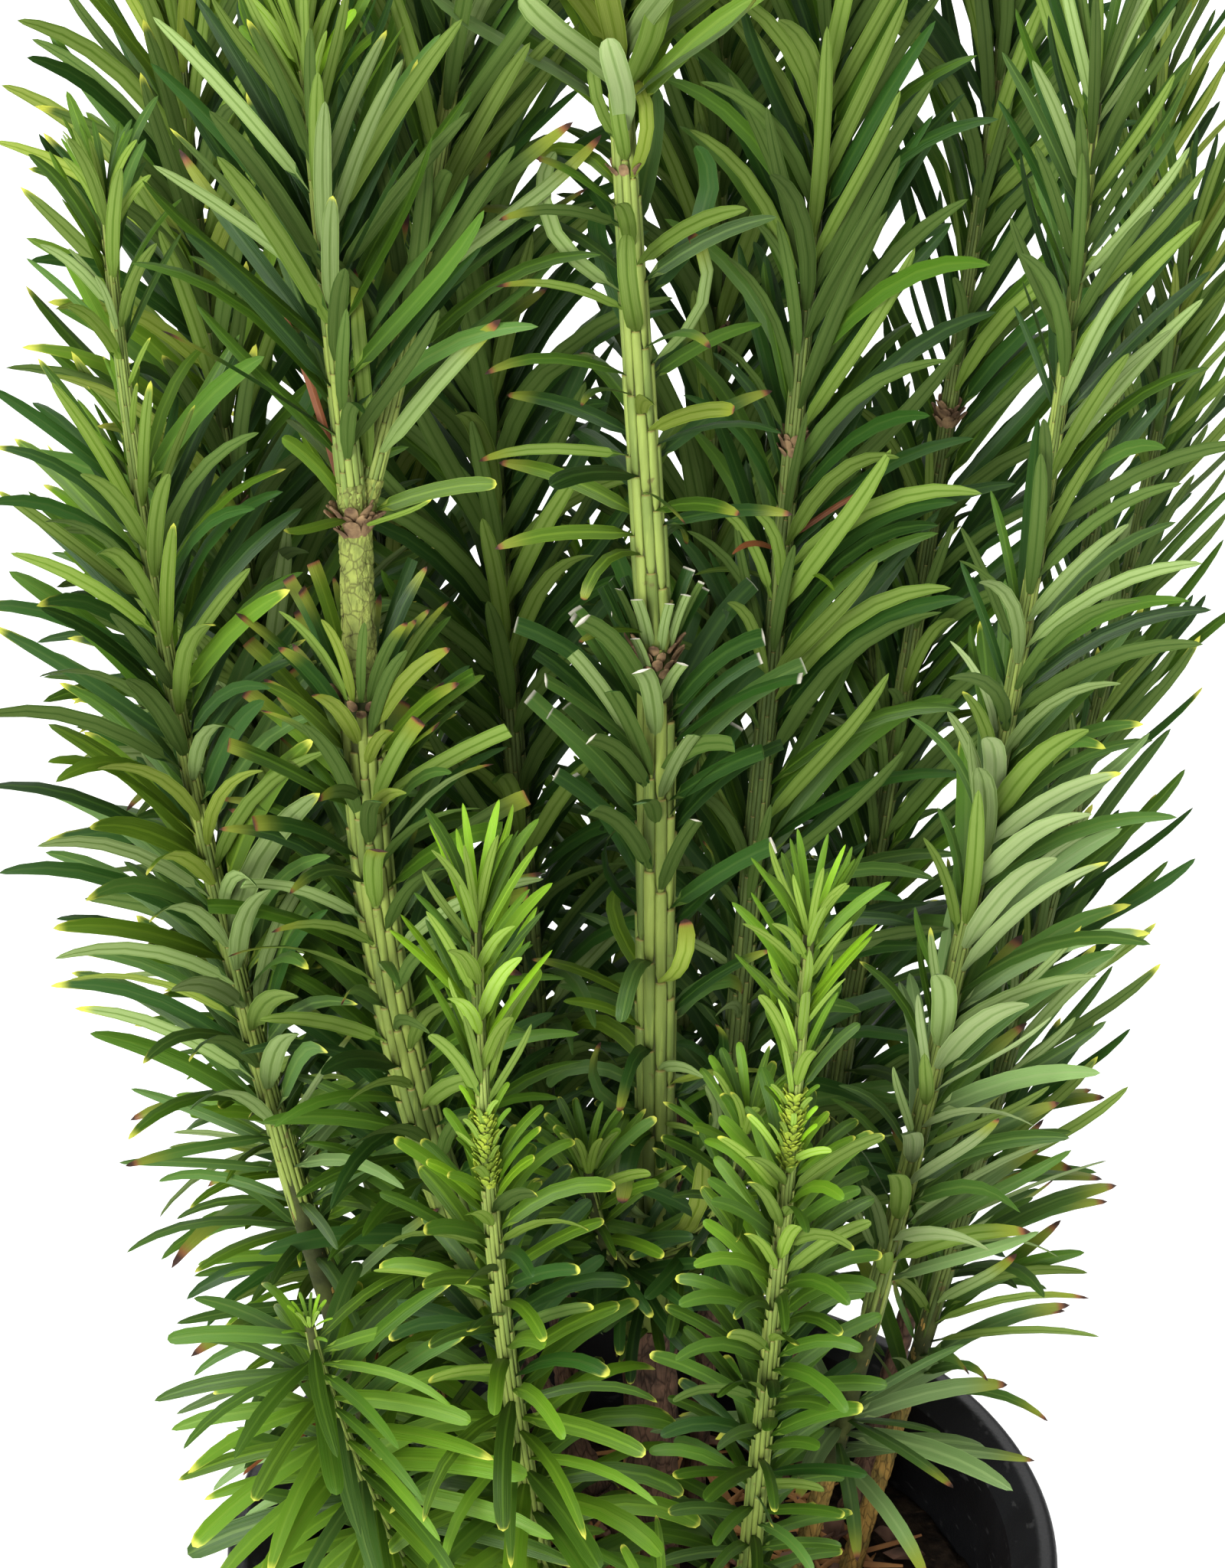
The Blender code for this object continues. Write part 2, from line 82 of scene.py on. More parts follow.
# The pot and its mix, the first three read from the frame
POT_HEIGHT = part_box("pot")[1][2]
RIM_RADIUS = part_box("pot")[1][0]
SOIL_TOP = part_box("potting_mix")[1][2]
LIP_HEIGHT = 0.013  # of the lip's outer band
LIP_TOP = 0.0048  # width of the lip's flat top
LIP_SLOPE = (0.0042, 0.0052)  # width and drop of the slope from it to the inner wall
LIP_EDGE = 0.0018  # how much its edges are rounded off
LIP_CURL = 0.0006  # how far over its lower edge the band turns in
WALL = 0.0021  # thick
BASE_RADIUS = 0.064
BASE_EDGE = 0.0030  # how much the pot's foot is rounded off
FLOOR = 0.0026  # the height of its upper side
FLOOR_BEND = 0.002  # the slant between floor and wall
STEP = (0.012, 0.0006, 0.0008)  # the moulded step: how far under the lip it is, its depth and its slope
FOOT_BAND = ((0.030, -0.0004), (0.0285, 0.0003), (0.012, 0.0))  # heights on it, and how proud it is there
UNDERSIDE = (0.011, 0.013, 0.0012)  # how far in its standing ring ends, how far in its recess is, how high
POT_SIDES = 160
WELD = 0.00002  # points of the pot that are closer become one
POT_CREASE = 38  # a fold of the pot sharper than this shades as an edge
DRAIN_HOLES = 6
DRAIN_SIZE = (0.012, 0.013, 0.009)  # through the wall, along it and high
DRAIN_CENTRE = 0.0095  # over the ground
MIX_RINGS = 44
MIX_SIDES = 120
MIX_ROUGH = 0.0032  # the height of the mix's crumbs and hollows
MIX_WAVES = (190, 170, 310)  # its hollows' waves per metre: along X, along Y and aslant
SEAM = 0.0003  # between the mix and the pot
LITTER_LIFT = 0.0016  # of the litter's middle over the mix
LITTER_SIDES = 48  # of the disc it lies on
# Litter, named as its tree's inputs, and how far a piece of it reaches
Litter = namedtuple("Litter", "Number_per_square_metre Smallest Largest Tilt Seed")
FLAKES = Litter(12000.0, 0.003, 0.015, 0.7, 3)
FLAKE_REACH = 0.010
FALLEN = Litter(26000.0, 0.016, 0.034, 0.12, 8)
FALLEN_REACH = 0.017
FLAKE_KINDS = 5
CHIP_SIZES = ((0.7, 1.15), (0.35, 0.7), (0.12, 0.24))  # from and to, along each axis
MOST_SHAPES = 20  # more than a shelf of litter holds

# The stems
LINE_STEPS = 48  # of a shoot's line
TWIG_STEPS = 8
TWIG_RADIUS = 0.0021
TWIG_LEAN = 55  # degrees from the stem at which a twig leaves it
TIP_RADIUS = 0.0011  # of a shoot or a twig
RING_STEP = 0.002  # from one point of a swept line to the next
LEAST_RINGS = 6  # steps of such a line, however short
SAME_PLACE = 1e-4  # points of a line that are closer count as one
FLARE = 0.35  # how much wider a stem is at the mix
FLARE_HEIGHT = 0.007  # over which this falls to about a third
RIB_PROUD = 0.24  # how far a leaf base stands out, to its width
CORE = 0.84  # of a shoot's radius, under its leaf bases
RIB_SPREAD = 1.14  # a leaf base's width to its share of the girth
BASE_OVERLAP = 1.06  # its length to that of one round of the spiral
BASE_PAST_FOOT = 0.004  # how far the lowest leaf bases run on past a shoot's foot
WOODY_TOP = 0.012  # how far bark runs on over the foot of a needle-clad stretch
TRUNK_LIMB = (0.012, 0.020)  # where on a limb its own bark starts, and where the trunk's ends
FORK_LIMB = 0.010  # where on a limb the cracked piece's bark ends
ON_TRUNK = ("left_mid", "back_centre")
ON_FORK = ("left_mid_front", "left_mid_back")

# The needles
NEEDLE_LEAST = 0.007  # no needle is shorter
SHORTER_AT_TIP = 0.32  # by what share needles are shorter at a shoot's tip
ANGLE_VARIES = 8
LEAST_ANGLE = 9
TOP_VARIES = 14  # of the angles in a shoot's top
TWIST_VARIES = 0.15
WIDTH_VARIES = (0.86, 1.12)
LENGTH_VARIES = (0.84, 1.08)
OVERREACH = 0.024  # how far a needle may go past the middle between its stem and the next
KEEP_OFF = 0.0034  # how far it stays from another stem's middle line
HALF_NEEDLE = 0.0017
WOOD_CLEAR = 0.0004
PAST_BOX = 0.0055  # how far a needle may reach past the box of the solids
SAMPLE = 0.003  # between the points of a stem that the search for room measures to
TOP_TUFT = 12  # needles that close a shoot's top, nearly upright
# What part of its length a needle keeps and how many degrees it rises, tried in turn till it has room
TRIES = tuple((short, up) for short in (1.0, 0.86, 0.72, 0.6, 0.48, 0.38) for up in (0, 12, 24))
CHECKED = (0.35, 0.6, 0.8, 1.0)  # shares of its length at which it must have room

# How needles follow each other up a stem: rows of leaf bases round it, turn and pitch from one to the next
Spiral = namedtuple("Spiral", "rows turn pitch")
COMMON_SPIRAL = Spiral(13, math.tau * 5 / 13, 0.0010)
SPIRALS = {
    "leader_lower": Spiral(9, math.tau * 4 / 9, 0.0021),
    "leader_upper": Spiral(9, math.tau * 4 / 9, 0.0016),
    "front_left": Spiral(11, math.tau * 4 / 11, 0.0009),
    "front_right": Spiral(11, math.tau * 4 / 11, 0.00085),
    "left_fan": Spiral(11, math.tau * 4 / 11, 0.0008),
    "left_mid_front": Spiral(11, math.tau * 4 / 11, 0.0008),
}

# One row is one shoot, by the rule of the solids: foot and tip are (x, y, height), bow says how much
# faster than a straight line it swings out at first, and bare is the share from the foot with no needles.
# needle is the length of its longest needles, spread their angles at its foot and tip, and a twig of it
# is (share of the stem, compass angle from the right, length).
Shoot = namedtuple("Shoot", "name parent foot tip bow bare radius needle spread twigs coats")

# One row is one stretch of a shoot: up to which share it goes, the tints, needle ends and shapes that are
# dealt out on it, how long and wide they are to the rest, how many of them are there, and by how many
# degrees they lean out more.
Coat = namedtuple("Coat", "upto tints ends shapes long wide keep lean")

OLD_WOOD = (
    Coat(0.18, "grey deep green", "plain plain brown", "arched drooping sickle", 0.9, 1.15, 0.9, 14),
    Coat(0.60, "green deep deep grey", "plain yellow plain",
         "arched sickle rising arched", 1.0, 1.05, 1.0, 0),
    Coat(0.88, "green deep olive deep", "plain yellow", "straight sickle rising arched", 1.05, 1.0, 1.0, 0),
    Coat(1.00, "green olive deep", "plain", "straight rising", 1.0, 0.95, 1.0, -2),
)
SHADED_WOOD = (
    Coat(0.30, "deep deep grey", "plain", "arched drooping sickle", 0.9, 1.1, 0.9, 12),
    Coat(0.75, "deep deep green", "plain", "arched sickle straight rising", 1.0, 1.05, 0.95, 0),
    Coat(1.00, "deep green deep", "plain", "straight sickle rising", 1.05, 0.95, 1.0, 0),
)
FAR_RIGHT = (
    Coat(0.16, "grey green", "plain brown", "rising sickle broad", 0.80, 1.15, 0.90, 8),
    Coat(0.60, "green grey deep deep", "plain yellow plain",
         "rising straight rising", 0.88, 1.05, 0.55, -4),
    Coat(0.88, "green deep deep", "plain", "straight rising", 0.88, 0.95, 0.45, -2),
    Coat(1.00, "green olive deep", "plain", "straight rising", 0.86, 0.95, 0.75, -2),
)
FRONT_LEFT = (
    Coat(0.22, "green fresh grey", "plain yellow", "arched drooping recurved", 1.25, 1.05, 0.9, 34),
    Coat(0.42, "fresh fresh green", "yellow plain yellow",
         "arched drooping recurved blunt", 1.10, 1.05, 1.0, 24),
    Coat(0.66, "fresh deep fresh green", "yellow plain yellow", "recurved blunt blunt", 0.84, 1.05, 1.0, 6),
    Coat(0.71, "fresh lime", "yellow plain", "blunt", 0.56, 1.10, 1.0, 0),
    Coat(0.78, "lime fresh", "plain", "blunt", 0.30, 1.20, 1.0, -14),
    Coat(0.86, "fresh lime green", "plain", "blunt rising straight", 0.85, 1.00, 1.0, -12),
    Coat(1.00, "lime fresh lime green", "plain", "straight rising straight broad", 1.0, 1.10, 0.85, 2),
)
FRONT_RIGHT = (
    Coat(0.24, "green grey green", "plain yellow", "blunt recurved blunt", 0.74, 1.10, 0.9, 6),
    Coat(0.45, "green deep green", "yellow plain plain", "blunt blunt recurved", 0.88, 1.05, 1.0, 0),
    Coat(0.68, "green fresh green", "yellow plain plain", "blunt blunt recurved", 0.90, 1.05, 1.0, -6),
    Coat(0.72, "fresh lime", "yellow plain", "blunt", 0.56, 1.10, 1.0, 0),
    Coat(0.79, "lime fresh", "plain", "blunt", 0.34, 1.20, 1.0, -14),
    Coat(0.88, "fresh lime green", "plain", "blunt rising straight", 0.80, 1.00, 1.0, -12),
    Coat(1.00, "lime fresh fresh", "plain", "straight rising straight broad", 1.0, 1.10, 0.95, 4),
)
LEADER_FOOT = (
    Coat(0.30, "deep grey olive", "plain brown", "drooping hooked broad", 0.8, 1.1, 0.60, 10),
    Coat(0.64, "grey olive deep", "brown brown plain", "hooked curled hooked broad", 0.66, 1.25, 0.80, 8),
    Coat(0.93, "deep deep grey", "white white plain", "cut cut_arched cut", 0.92, 1.0, 1.0, -6),
    Coat(1.00, "deep grey", "white", "cut", 0.52, 1.7, 1.0, -10),
)
LEADER_TOP = (
    Coat(0.14, "olive green", "brown", "curled broad", 0.45, 1.0, 0.45, 6),
    Coat(0.34, "green olive deep", "brown brown brown plain",
         "broad broad sickle blunt", 0.58, 1.10, 1.0, 16),
    Coat(0.50, "green grey deep", "brown plain plain", "broad hooked sickle", 0.66, 1.10, 0.8, 8),
    Coat(0.62, "olive green", "brown plain", "hooked curled broad", 0.42, 1.3, 0.60, 0),
    Coat(0.88, "olive grey green grey", "plain", "winding hooked winding broad", 0.85, 1.15, 1.0, 0),
    Coat(1.00, "green fresh olive", "plain", "straight rising winding", 1.0, 1.3, 1.0, -2),
)
LEFT_MID = (
    Coat(0.55, "deep green", "plain", "arched sickle broad", 0.95, 1.15, 0.9, 8),
    Coat(0.84, "deep green grey", "plain brown", "arched sickle cut_arched", 1.0, 1.1, 0.8, 0),
    Coat(1.00, "deep green deep olive", "brown brown plain", "cut broad broad", 0.95, 0.95, 0.6, -10),
)
LEFT_FORKS = (
    Coat(0.10, "olive fresh", "plain yellow", "blunt rising", 0.5, 1.0, 0.3, 20),
    Coat(0.45, "green deep deep grey", "plain brown plain", "straight rising arched", 0.86, 1.05, 0.7, 4),
    Coat(0.75, "deep green deep grey", "plain yellow plain",
         "straight rising straight", 0.95, 1.05, 0.9, 4),
    Coat(1.00, "fresh green deep green", "plain yellow", "straight rising", 0.76, 1.00, 1.0, 0),
)
LEFT_OUTER = (
    Coat(0.34, "grey pale grey", "plain plain brown", "straight arched straight", 0.78, 1.00, 0.62, 24),
    Coat(0.62, "green grey deep grey olive", "plain yellow plain",
         "arched sickle arched broad", 0.97, 1.05, 0.95, 0),
    Coat(0.82, "green fresh deep deep", "plain yellow plain", "arched broad straight", 0.94, 1.05, 1.0, 2),
    Coat(0.89, "fresh", "yellow", "straight", 0.32, 1.20, 0.16, 0),
    Coat(1.00, "fresh green grey", "plain", "straight broad", 0.46, 1.05, 0.55, 2),
)
RIGHT_OUTER = (
    Coat(0.17, "grey", "plain", "straight", 0.6, 1.3, 0.05, 12),
    Coat(0.34, "grey pale green", "plain brown plain", "rising sickle broad", 0.85, 1.15, 0.9, 4),
    Coat(0.60, "grey pale green grey", "plain yellow plain",
         "broad rising broad sickle", 0.95, 1.1, 0.85, -4),
    Coat(0.85, "green deep deep grey", "plain", "straight sickle straight", 0.95, 1.0, 0.68, 0),
    Coat(1.00, "green grey deep deep", "plain", "straight rising", 0.90, 1.0, 0.85, -2),
)
LOW_FAN = (
    Coat(0.50, "green fresh fresh", "plain yellow", "broad drooping broad arched", 1.0, 1.0, 0.8, 26),
    Coat(0.97, "fresh grey fresh green", "yellow plain", "broad blunt arched broad", 0.95, 1.00, 1.0, 22),
    Coat(1.00, "lime fresh", "plain", "blunt", 0.22, 0.9, 1.0, 0),
)
LOW_TWIG = (
    Coat(0.60, "deep green deep", "plain yellow", "blunt recurved broad", 0.9, 1.0, 1.0, 14),
    Coat(1.00, "green fresh", "yellow plain", "blunt broad", 1.0, 1.0, 1.0, 6),
)

SHOOTS = (
    Shoot("leader_lower", "trunk", (0.002, 0.003, 0.212), (0.000, 0.002, 0.360), 1.0, 0.00, 0.0042,
          0.037, (50, 38), ((0.08, 235, 0.046), (0.12, 310, 0.050)), LEADER_FOOT),
    Shoot("leader_upper", "leader_lower", (0.000, 0.002, 0.360), (-0.011, 0.004, 0.512), 1.0, 0.00, 0.0036,
          0.044, (60, 24), (), LEADER_TOP),
    Shoot("front_left", "soil", (-0.011, -0.034), (-0.030, -0.042, 0.330), 2.0, 0.10, 0.0029,
          0.029, (60, 24), (), FRONT_LEFT),
    Shoot("front_right", "soil", (0.018, -0.031), (0.026, -0.039, 0.326), 1.1, 0.14, 0.0028,
          0.026, (60, 24), (), FRONT_RIGHT),
    Shoot("front_low", "soil", (0.001, -0.046), (0.003, -0.060, 0.200), 1.2, 0.18, 0.0022,
          0.024, (58, 34), (), LOW_FAN),
    Shoot("left_fan", "soil", (-0.030, -0.024), (-0.060, -0.050, 0.252), 1.3, 0.18, 0.0026,
          0.038, (70, 52), (), LOW_FAN),
    Shoot("left_outer", "soil", (-0.040, -0.003), (-0.090, -0.006, 0.442), 1.7, 0.12, 0.0033,
          0.043, (50, 22), (), LEFT_OUTER),
    Shoot("left_slim", "soil", (-0.046, 0.018), (-0.078, 0.020, 0.300), 1.3, 0.22, 0.0022,
          0.027, (52, 26), (), LOW_FAN),
    Shoot("left_mid", "trunk", (0.000, 0.003, 0.158), (-0.051, -0.010, 0.356), 2.2, 0.30, 0.0040,
          0.036, (50, 34), (), LEFT_MID),
    Shoot("left_mid_front", "left_fork", (-0.051, -0.010, 0.386), (-0.056, -0.018, 0.470), 1.0, 0.00, 0.0027,
          0.046, (38, 20), (), LEFT_FORKS),
    Shoot("left_mid_back", "left_fork", (-0.051, -0.010, 0.386), (-0.031, 0.008, 0.496), 1.6, 0.00, 0.0024,
          0.044, (36, 20), (), LEFT_FORKS),
    Shoot("right_outer", "soil", (0.028, -0.004), (0.068, -0.008, 0.460), 1.65, 0.14, 0.0029,
          0.044, (36, 30), (), RIGHT_OUTER),
    Shoot("far_right", "soil", (0.044, 0.016), (0.091, 0.026, 0.424), 1.4, 0.16, 0.0026,
          0.042, (38, 28), (), FAR_RIGHT),
    Shoot("right_mid", "soil", (0.010, 0.024), (0.030, 0.022, 0.500), 1.0, 0.20, 0.0035,
          0.048, (42, 20), (), SHADED_WOOD),
    Shoot("back_right", "soil", (0.026, 0.034), (0.062, 0.052, 0.486), 1.2, 0.16, 0.0031,
          0.047, (42, 20), ((0.42, 100, 0.060),), SHADED_WOOD),
    Shoot("back_far_right", "soil", (0.046, 0.036), (0.092, 0.070, 0.450), 1.6, 0.16, 0.0031,
          0.043, (40, 24), (), FAR_RIGHT),
    Shoot("back_centre", "trunk", (0.001, 0.005, 0.170), (0.012, 0.078, 0.494), 2.6, 0.24, 0.0035,
          0.047, (44, 22), ((0.35, 60, 0.060),), SHADED_WOOD),
    Shoot("back_left_mid", "soil", (-0.013, 0.030), (-0.036, 0.052, 0.506), 1.3, 0.16, 0.0035,
          0.048, (44, 22), (), SHADED_WOOD),
    Shoot("back_left", "soil", (-0.036, 0.030), (-0.084, 0.044, 0.470), 1.7, 0.16, 0.0036,
          0.052, (46, 26), ((0.45, 150, 0.060),), OLD_WOOD),
    Shoot("back_rear_left", "soil", (-0.026, 0.048), (-0.058, 0.092, 0.430), 1.6, 0.16, 0.0034,
          0.048, (46, 26), (), OLD_WOOD),
    Shoot("back_low_centre", "soil", (0.000, 0.052), (-0.012, 0.092, 0.330), 1.6, 0.14, 0.0030,
          0.030, (56, 26), (), FRONT_RIGHT),
    Shoot("back_low_right", "soil", (0.026, 0.056), (0.048, 0.094, 0.350), 1.6, 0.14, 0.0030,
          0.034, (50, 26), (), OLD_WOOD),
)
TRUNK = (Vector((0.0015, 0.0045, 0.139)), Vector((0.002, 0.003, 0.214)))
TRUNK_RADII = (0.0062, 0.0045)
FORK = (Vector((-0.051, -0.010, 0.354)), Vector((-0.051, -0.010, 0.390)))
FORK_RADII = (0.0043, 0.0040)
FORK_SLIM = 0.72  # how much thinner it looks than its solid
SIDES = ("front", "back")
LIMB_SLIM = 0.80
ROOT_DEPTH = 0.75  # how far out of a stem's middle a needle is rooted, to its radius
TWIG_NEEDLE = 0.62  # a twig's needles to its shoot's
TOP_RADIUS = {"leader_lower": 0.0036, "left_mid": 0.0041}
GREEN_STEMMED = ("front_left", "front_right", "front_low", "left_slim")

# One row is a tuft of needles that stand closer than the rest: on which shoot, from and to which share of
# its whole line, the pitch, the longest needle, their angles, then their tints, ends, shapes, width and share
Tuft = namedtuple("Tuft", "shoot start end pitch needle spread tints ends shapes wide keep", defaults=(1.0,))
TUFTS = tuple(Tuft(*row) for row in (
    ("right_outer", 0.150, 0.190, 0.0007, 0.037, (88, 60),
     "pale pale grey", "plain yellow brown", "broad straight broad", 1.1),
    ("front_right", 0.060, 0.110, 0.0010, 0.022, (80, 60), "pale grey", "plain", "blunt broad", 1.1),
    ("leader_lower", 0.300, 0.340, 0.0004, 0.013, (80, 50), "deep green", "yellow plain", "blunt broad", 1.3),
    ("leader_lower", 0.010, 0.060, 0.0005, 0.016, (84, 60), "deep green", "plain yellow", "blunt broad", 1.2),
    ("leader_lower", 0.760, 0.940, 0.0013, 0.030, (44, 32),
     "deep grey deep", "white white plain", "cut cut_arched", 1.1),
    ("leader_upper", 0.600, 0.980, 0.0014, 0.038, (38, 22),
     "pale olive grey pale", "plain brown plain", "winding broad winding hooked", 1.15),
    ("left_mid", 0.890, 0.975, 0.0008, 0.027, (50, 30),
     "deep olive green olive", "brown brown brown plain", "cut broad broad", 1.05),
    ("left_mid_front", 0.880, 0.990, 0.0007, 0.015, (36, 14), "lime fresh", "plain", "blunt straight", 1.0),
    ("left_outer", 0.905, 0.995, 0.0017, 0.022, (34, 14), "fresh green grey", "plain",
     "broad straight broad", 1.0),
    ("left_outer", 0.165, 0.200, 0.0040, 0.032, (60, 60), "dry", "plain", "straight arched", 0.55),
    ("left_mid_front", 0.020, 0.060, 0.0020, 0.036, (30, 12), "dry", "plain", "straight sickle", 0.45, 0.6),
    ("right_mid", 0.615, 0.650, 0.0020, 0.016, (80, 50), "dry olive", "plain", "straight sickle", 0.8),
    ("back_left", 0.520, 0.560, 0.0007, 0.028, (16, 10), "deep grey", "white plain", "cut", 1.3),
))

# Share of a shoot's needle-clad stretch that has bark over its leaf bases
WOODY_TO = {"right_outer": 0.17, "left_outer": 0.30, "far_right": 0.12, "back_left": 0.10}
# Where the needles on the side that faces the plant's middle have thinned out: from, to, share that is left
THIN_INSIDE = {
    "right_outer": (0.17, 0.85, 0.45), "far_right": (0.0, 0.65, 0.60), "right_mid": (0.0, 0.70, 0.45),
    "back_right": (0.0, 0.80, 0.35), "back_far_right": (0.0, 0.70, 0.35), "back_low_right": (0.0, 0.80, 0.50),
}
INNER_LENGTH = 0.62  # how long those that are left there are to the rest
INNER_LEAN = -12
INNER_FROM = 0.35  # how squarely a needle must face the middle to be one of them
# Where a shoot's leaf bases are bright: from and to which share of its needle-clad stretch
BRIGHT = {
    "left_outer": (0.78, 0.93), "right_outer": (0.36, 0.66), "leader_upper": (0.10, 0.72),
    "front_left": (0.5, 0.9), "front_right": (0.5, 0.9),
    "left_mid_front": (0.0, 0.3), "left_mid_back": (0.0, 0.3),
}

# Rings of bud scales: shoot, share of its needle-clad stretch, rows, the scales' length and their finish
RINGS = (
    ("leader_lower", 0.985, 5, 0.0036, "brown"),
    ("leader_upper", 0.56, 1, 0.0024, "brown"),
    ("front_left", 0.735, 20, 0.0019, "green"),
    ("front_right", 0.75, 20, 0.0019, "green"),
    ("left_mid", 0.99, 2, 0.0030, "brown"),
    ("left_mid_front", 0.03, 3, 0.0036, "brown"),
    ("left_mid_back", 0.02, 2, 0.0032, "brown"),
    ("right_mid", 0.62, 3, 0.0028, "brown"),
    ("back_right", 0.66, 3, 0.0030, "brown"),
    ("back_centre", 0.60, 3, 0.0030, "brown"),
    ("back_left", 0.64, 3, 0.0030, "brown"),
)
SCALES_IN_ROW = 8
ROW_SPACING = 0.42  # to the scales' length
SCALE_LEANS = (4, 26)  # degrees from the stem
SCALE_SIZES = (0.75, 1.25)  # to the ring's own length
SCALE_DEPTH = 0.9  # how far out of a stem's middle a scale is rooted, to its radius

# A leaf base: share down the strip, its width and its height there
BASE_RINGS = ((0.0, 0.84, 1.3), (0.04, 1.0, 1.2), (0.5, 1.0, 0.95), (0.86, 0.84, 0.7), (1.0, 0.4, 0.0))
BASE_OUT = (-1.0, -0.68, 0.0, 0.68, 1.0)  # how far out its section's points are, to half its width
SHOULDERS = 0.62  # how high the points beside its ridge are, to its height
BASE_SUNK = 0.6  # how deep its edges are sunk

# A needle's shape: degrees it bends from the stem and then on or back, degrees it sweeps sideways, its end,
# its width and thickness to its length, and the degrees its blade is rolled over past the neck
Shape = namedtuple("Shape", "bend back sweep end wide thick roll", defaults=(0,))
NEEDLE_SHAPES = {
    "straight": Shape(4, 6, 4, "acute", 0.070, 0.012),
    "arched": Shape(10, 40, 8, "acute", 0.071, 0.012),
    "drooping": Shape(20, 54, 10, "acute", 0.074, 0.012),
    "rising": Shape(26, -34, 6, "acute", 0.068, 0.012),
    "sickle": Shape(12, 26, 30, "acute", 0.070, 0.012),
    "winding": Shape(78, -84, 10, "blunt", 0.108, 0.015),
    "broad": Shape(10, 18, 8, "acute", 0.100, 0.014),
    "hooked": Shape(-10, -90, 14, "blunt", 0.112, 0.017),
    "curled": Shape(30, 84, 16, "blunt", 0.122, 0.018),
    "blunt": Shape(6, 18, 6, "blunt", 0.122, 0.019),
    "recurved": Shape(4, 62, 8, "blunt", 0.120, 0.019),
    "cut": Shape(4, 8, 4, "cut", 0.104, 0.016),
    "cut_arched": Shape(8, 24, 6, "cut", 0.104, 0.016),
}
ROLLS = (-108, -78, -48, -18, 18, 48, 78, 108)
ROLL_SHARE = (0.30, 1.0)  # of the roll that would turn a face squarely to the front
FRONT = Vector((0.0, -0.89, 0.45))
# How many of a shoot's needles show the front their upper side, where both sides could be shown
TOPS_SHOWN = {"left_outer": 0.72, "right_outer": 0.48, "left_mid_front": 0.72, "left_mid_back": 0.6}
MOSTLY_TOPS = 0.62
NECK = 0.18  # share of the length over which the blade rolls
RIB_OUT = 0.20  # how far out the midrib's edges are, to half the blade's width
RIB_HIGH = 0.55  # their height, and the keel's depth below, to the blade's thickness there
KEEL_DEEP = 0.45
THIN_EDGE = 0.55  # the thickness that a blade keeps where it narrows to nothing
SCALE_SHAPE = Shape(-30, 0, 0, "acute", 0.62, 0.16)
FALLEN_SHAPE = Shape(22, 0, 30, "acute", 0.060, 0.03)
UNDER = 1  # the mark of an underside's faces
MARGIN_ANGLE = 70  # a fold sharper than this shades as an edge
# (share of the length, of the width) at each ring
ENDS = {
    "acute": ((0, 0.42), (0.06, 0.60), (0.15, 0.90), (0.30, 1.0), (0.48, 1.0), (0.66, 0.96), (0.80, 0.84),
              (0.91, 0.60), (0.97, 0.34)),
    "blunt": ((0, 0.42), (0.06, 0.56), (0.16, 0.90), (0.32, 1.0), (0.52, 1.0), (0.72, 1.0), (0.86, 0.97),
              (0.945, 0.80), (0.985, 0.50)),
    "cut": ((0, 0.40), (0.06, 0.54), (0.16, 0.88), (0.32, 1.0), (0.50, 1.0), (0.68, 1.0), (0.86, 1.0),
            (0.955, 1.0), (0.998, 0.94)),
}
TIP_KINDS = ("plain", "yellow", "brown", "white")

# Plain base colours: a needle's upper side, its midrib, its underside and the bands on it
Tint = namedtuple("Tint", "top rib under bands")
TINTS = {
    # deep is a darker green: partly the own colour of older needles, partly painted shade, dealt most to
    # shaded and back shoots
    "deep": Tint((0.013, 0.045, 0.005), (0.036, 0.080, 0.012), (0.034, 0.068, 0.010), (0.070, 0.112, 0.024)),
    "green": Tint((0.033, 0.082, 0.005), (0.072, 0.142, 0.012), (0.066, 0.118, 0.012), (0.140, 0.206, 0.042)),
    "fresh": Tint((0.062, 0.136, 0.006), (0.115, 0.210, 0.014), (0.092, 0.165, 0.013), (0.180, 0.260, 0.048)),
    "lime": Tint((0.135, 0.275, 0.008), (0.205, 0.350, 0.020), (0.155, 0.275, 0.018), (0.245, 0.360, 0.075)),
    "grey": Tint((0.040, 0.095, 0.014), (0.090, 0.155, 0.028), (0.095, 0.152, 0.034), (0.205, 0.280, 0.100)),
    "pale": Tint((0.105, 0.178, 0.052), (0.170, 0.250, 0.085), (0.155, 0.228, 0.072), (0.265, 0.335, 0.145)),
    "dry": Tint((0.150, 0.048, 0.016), (0.210, 0.080, 0.030), (0.180, 0.070, 0.026), (0.240, 0.110, 0.045)),
    "olive": Tint((0.060, 0.120, 0.006), (0.115, 0.190, 0.014), (0.105, 0.158, 0.013), (0.195, 0.250, 0.045)),
}
# The bark: name, its plates' high and low colours, its cracks' colour, a plate's size and width to height
BARKS = (
    ("brown_bark", (0.170, 0.096, 0.060), (0.060, 0.038, 0.027), (0.014, 0.009, 0.007), 0.0020, 0.30),
    ("orange_bark", (0.40, 0.240, 0.060), (0.170, 0.140, 0.040), (0.060, 0.040, 0.015), 0.0014, 0.30),
    ("cracked_green_bark", (0.230, 0.270, 0.060), (0.135, 0.165, 0.040), (0.040, 0.030, 0.012), 0.0022,
     0.75),
)
# The finishes of leaf bases and bud scales: name, pale or raised colour, dark or low colour
BASES = {
    "plain": ("leaf_base_green", (0.200, 0.255, 0.052), (0.090, 0.132, 0.028)),
    # dull is a darker copy of the plain leaf bases, painted shade for shoots in the plant's shade
    "dull": ("dull_leaf_base", (0.110, 0.150, 0.034), (0.050, 0.078, 0.018)),
    "bright": ("bright_leaf_base", (0.220, 0.280, 0.062), (0.125, 0.178, 0.040)),
}
SCALES = {
    "brown": ("brown_bud_scales", (0.26, 0.17, 0.085), (0.085, 0.050, 0.028)),
    "green": ("green_bud_scales", (0.36, 0.44, 0.045), (0.20, 0.29, 0.032)),
}
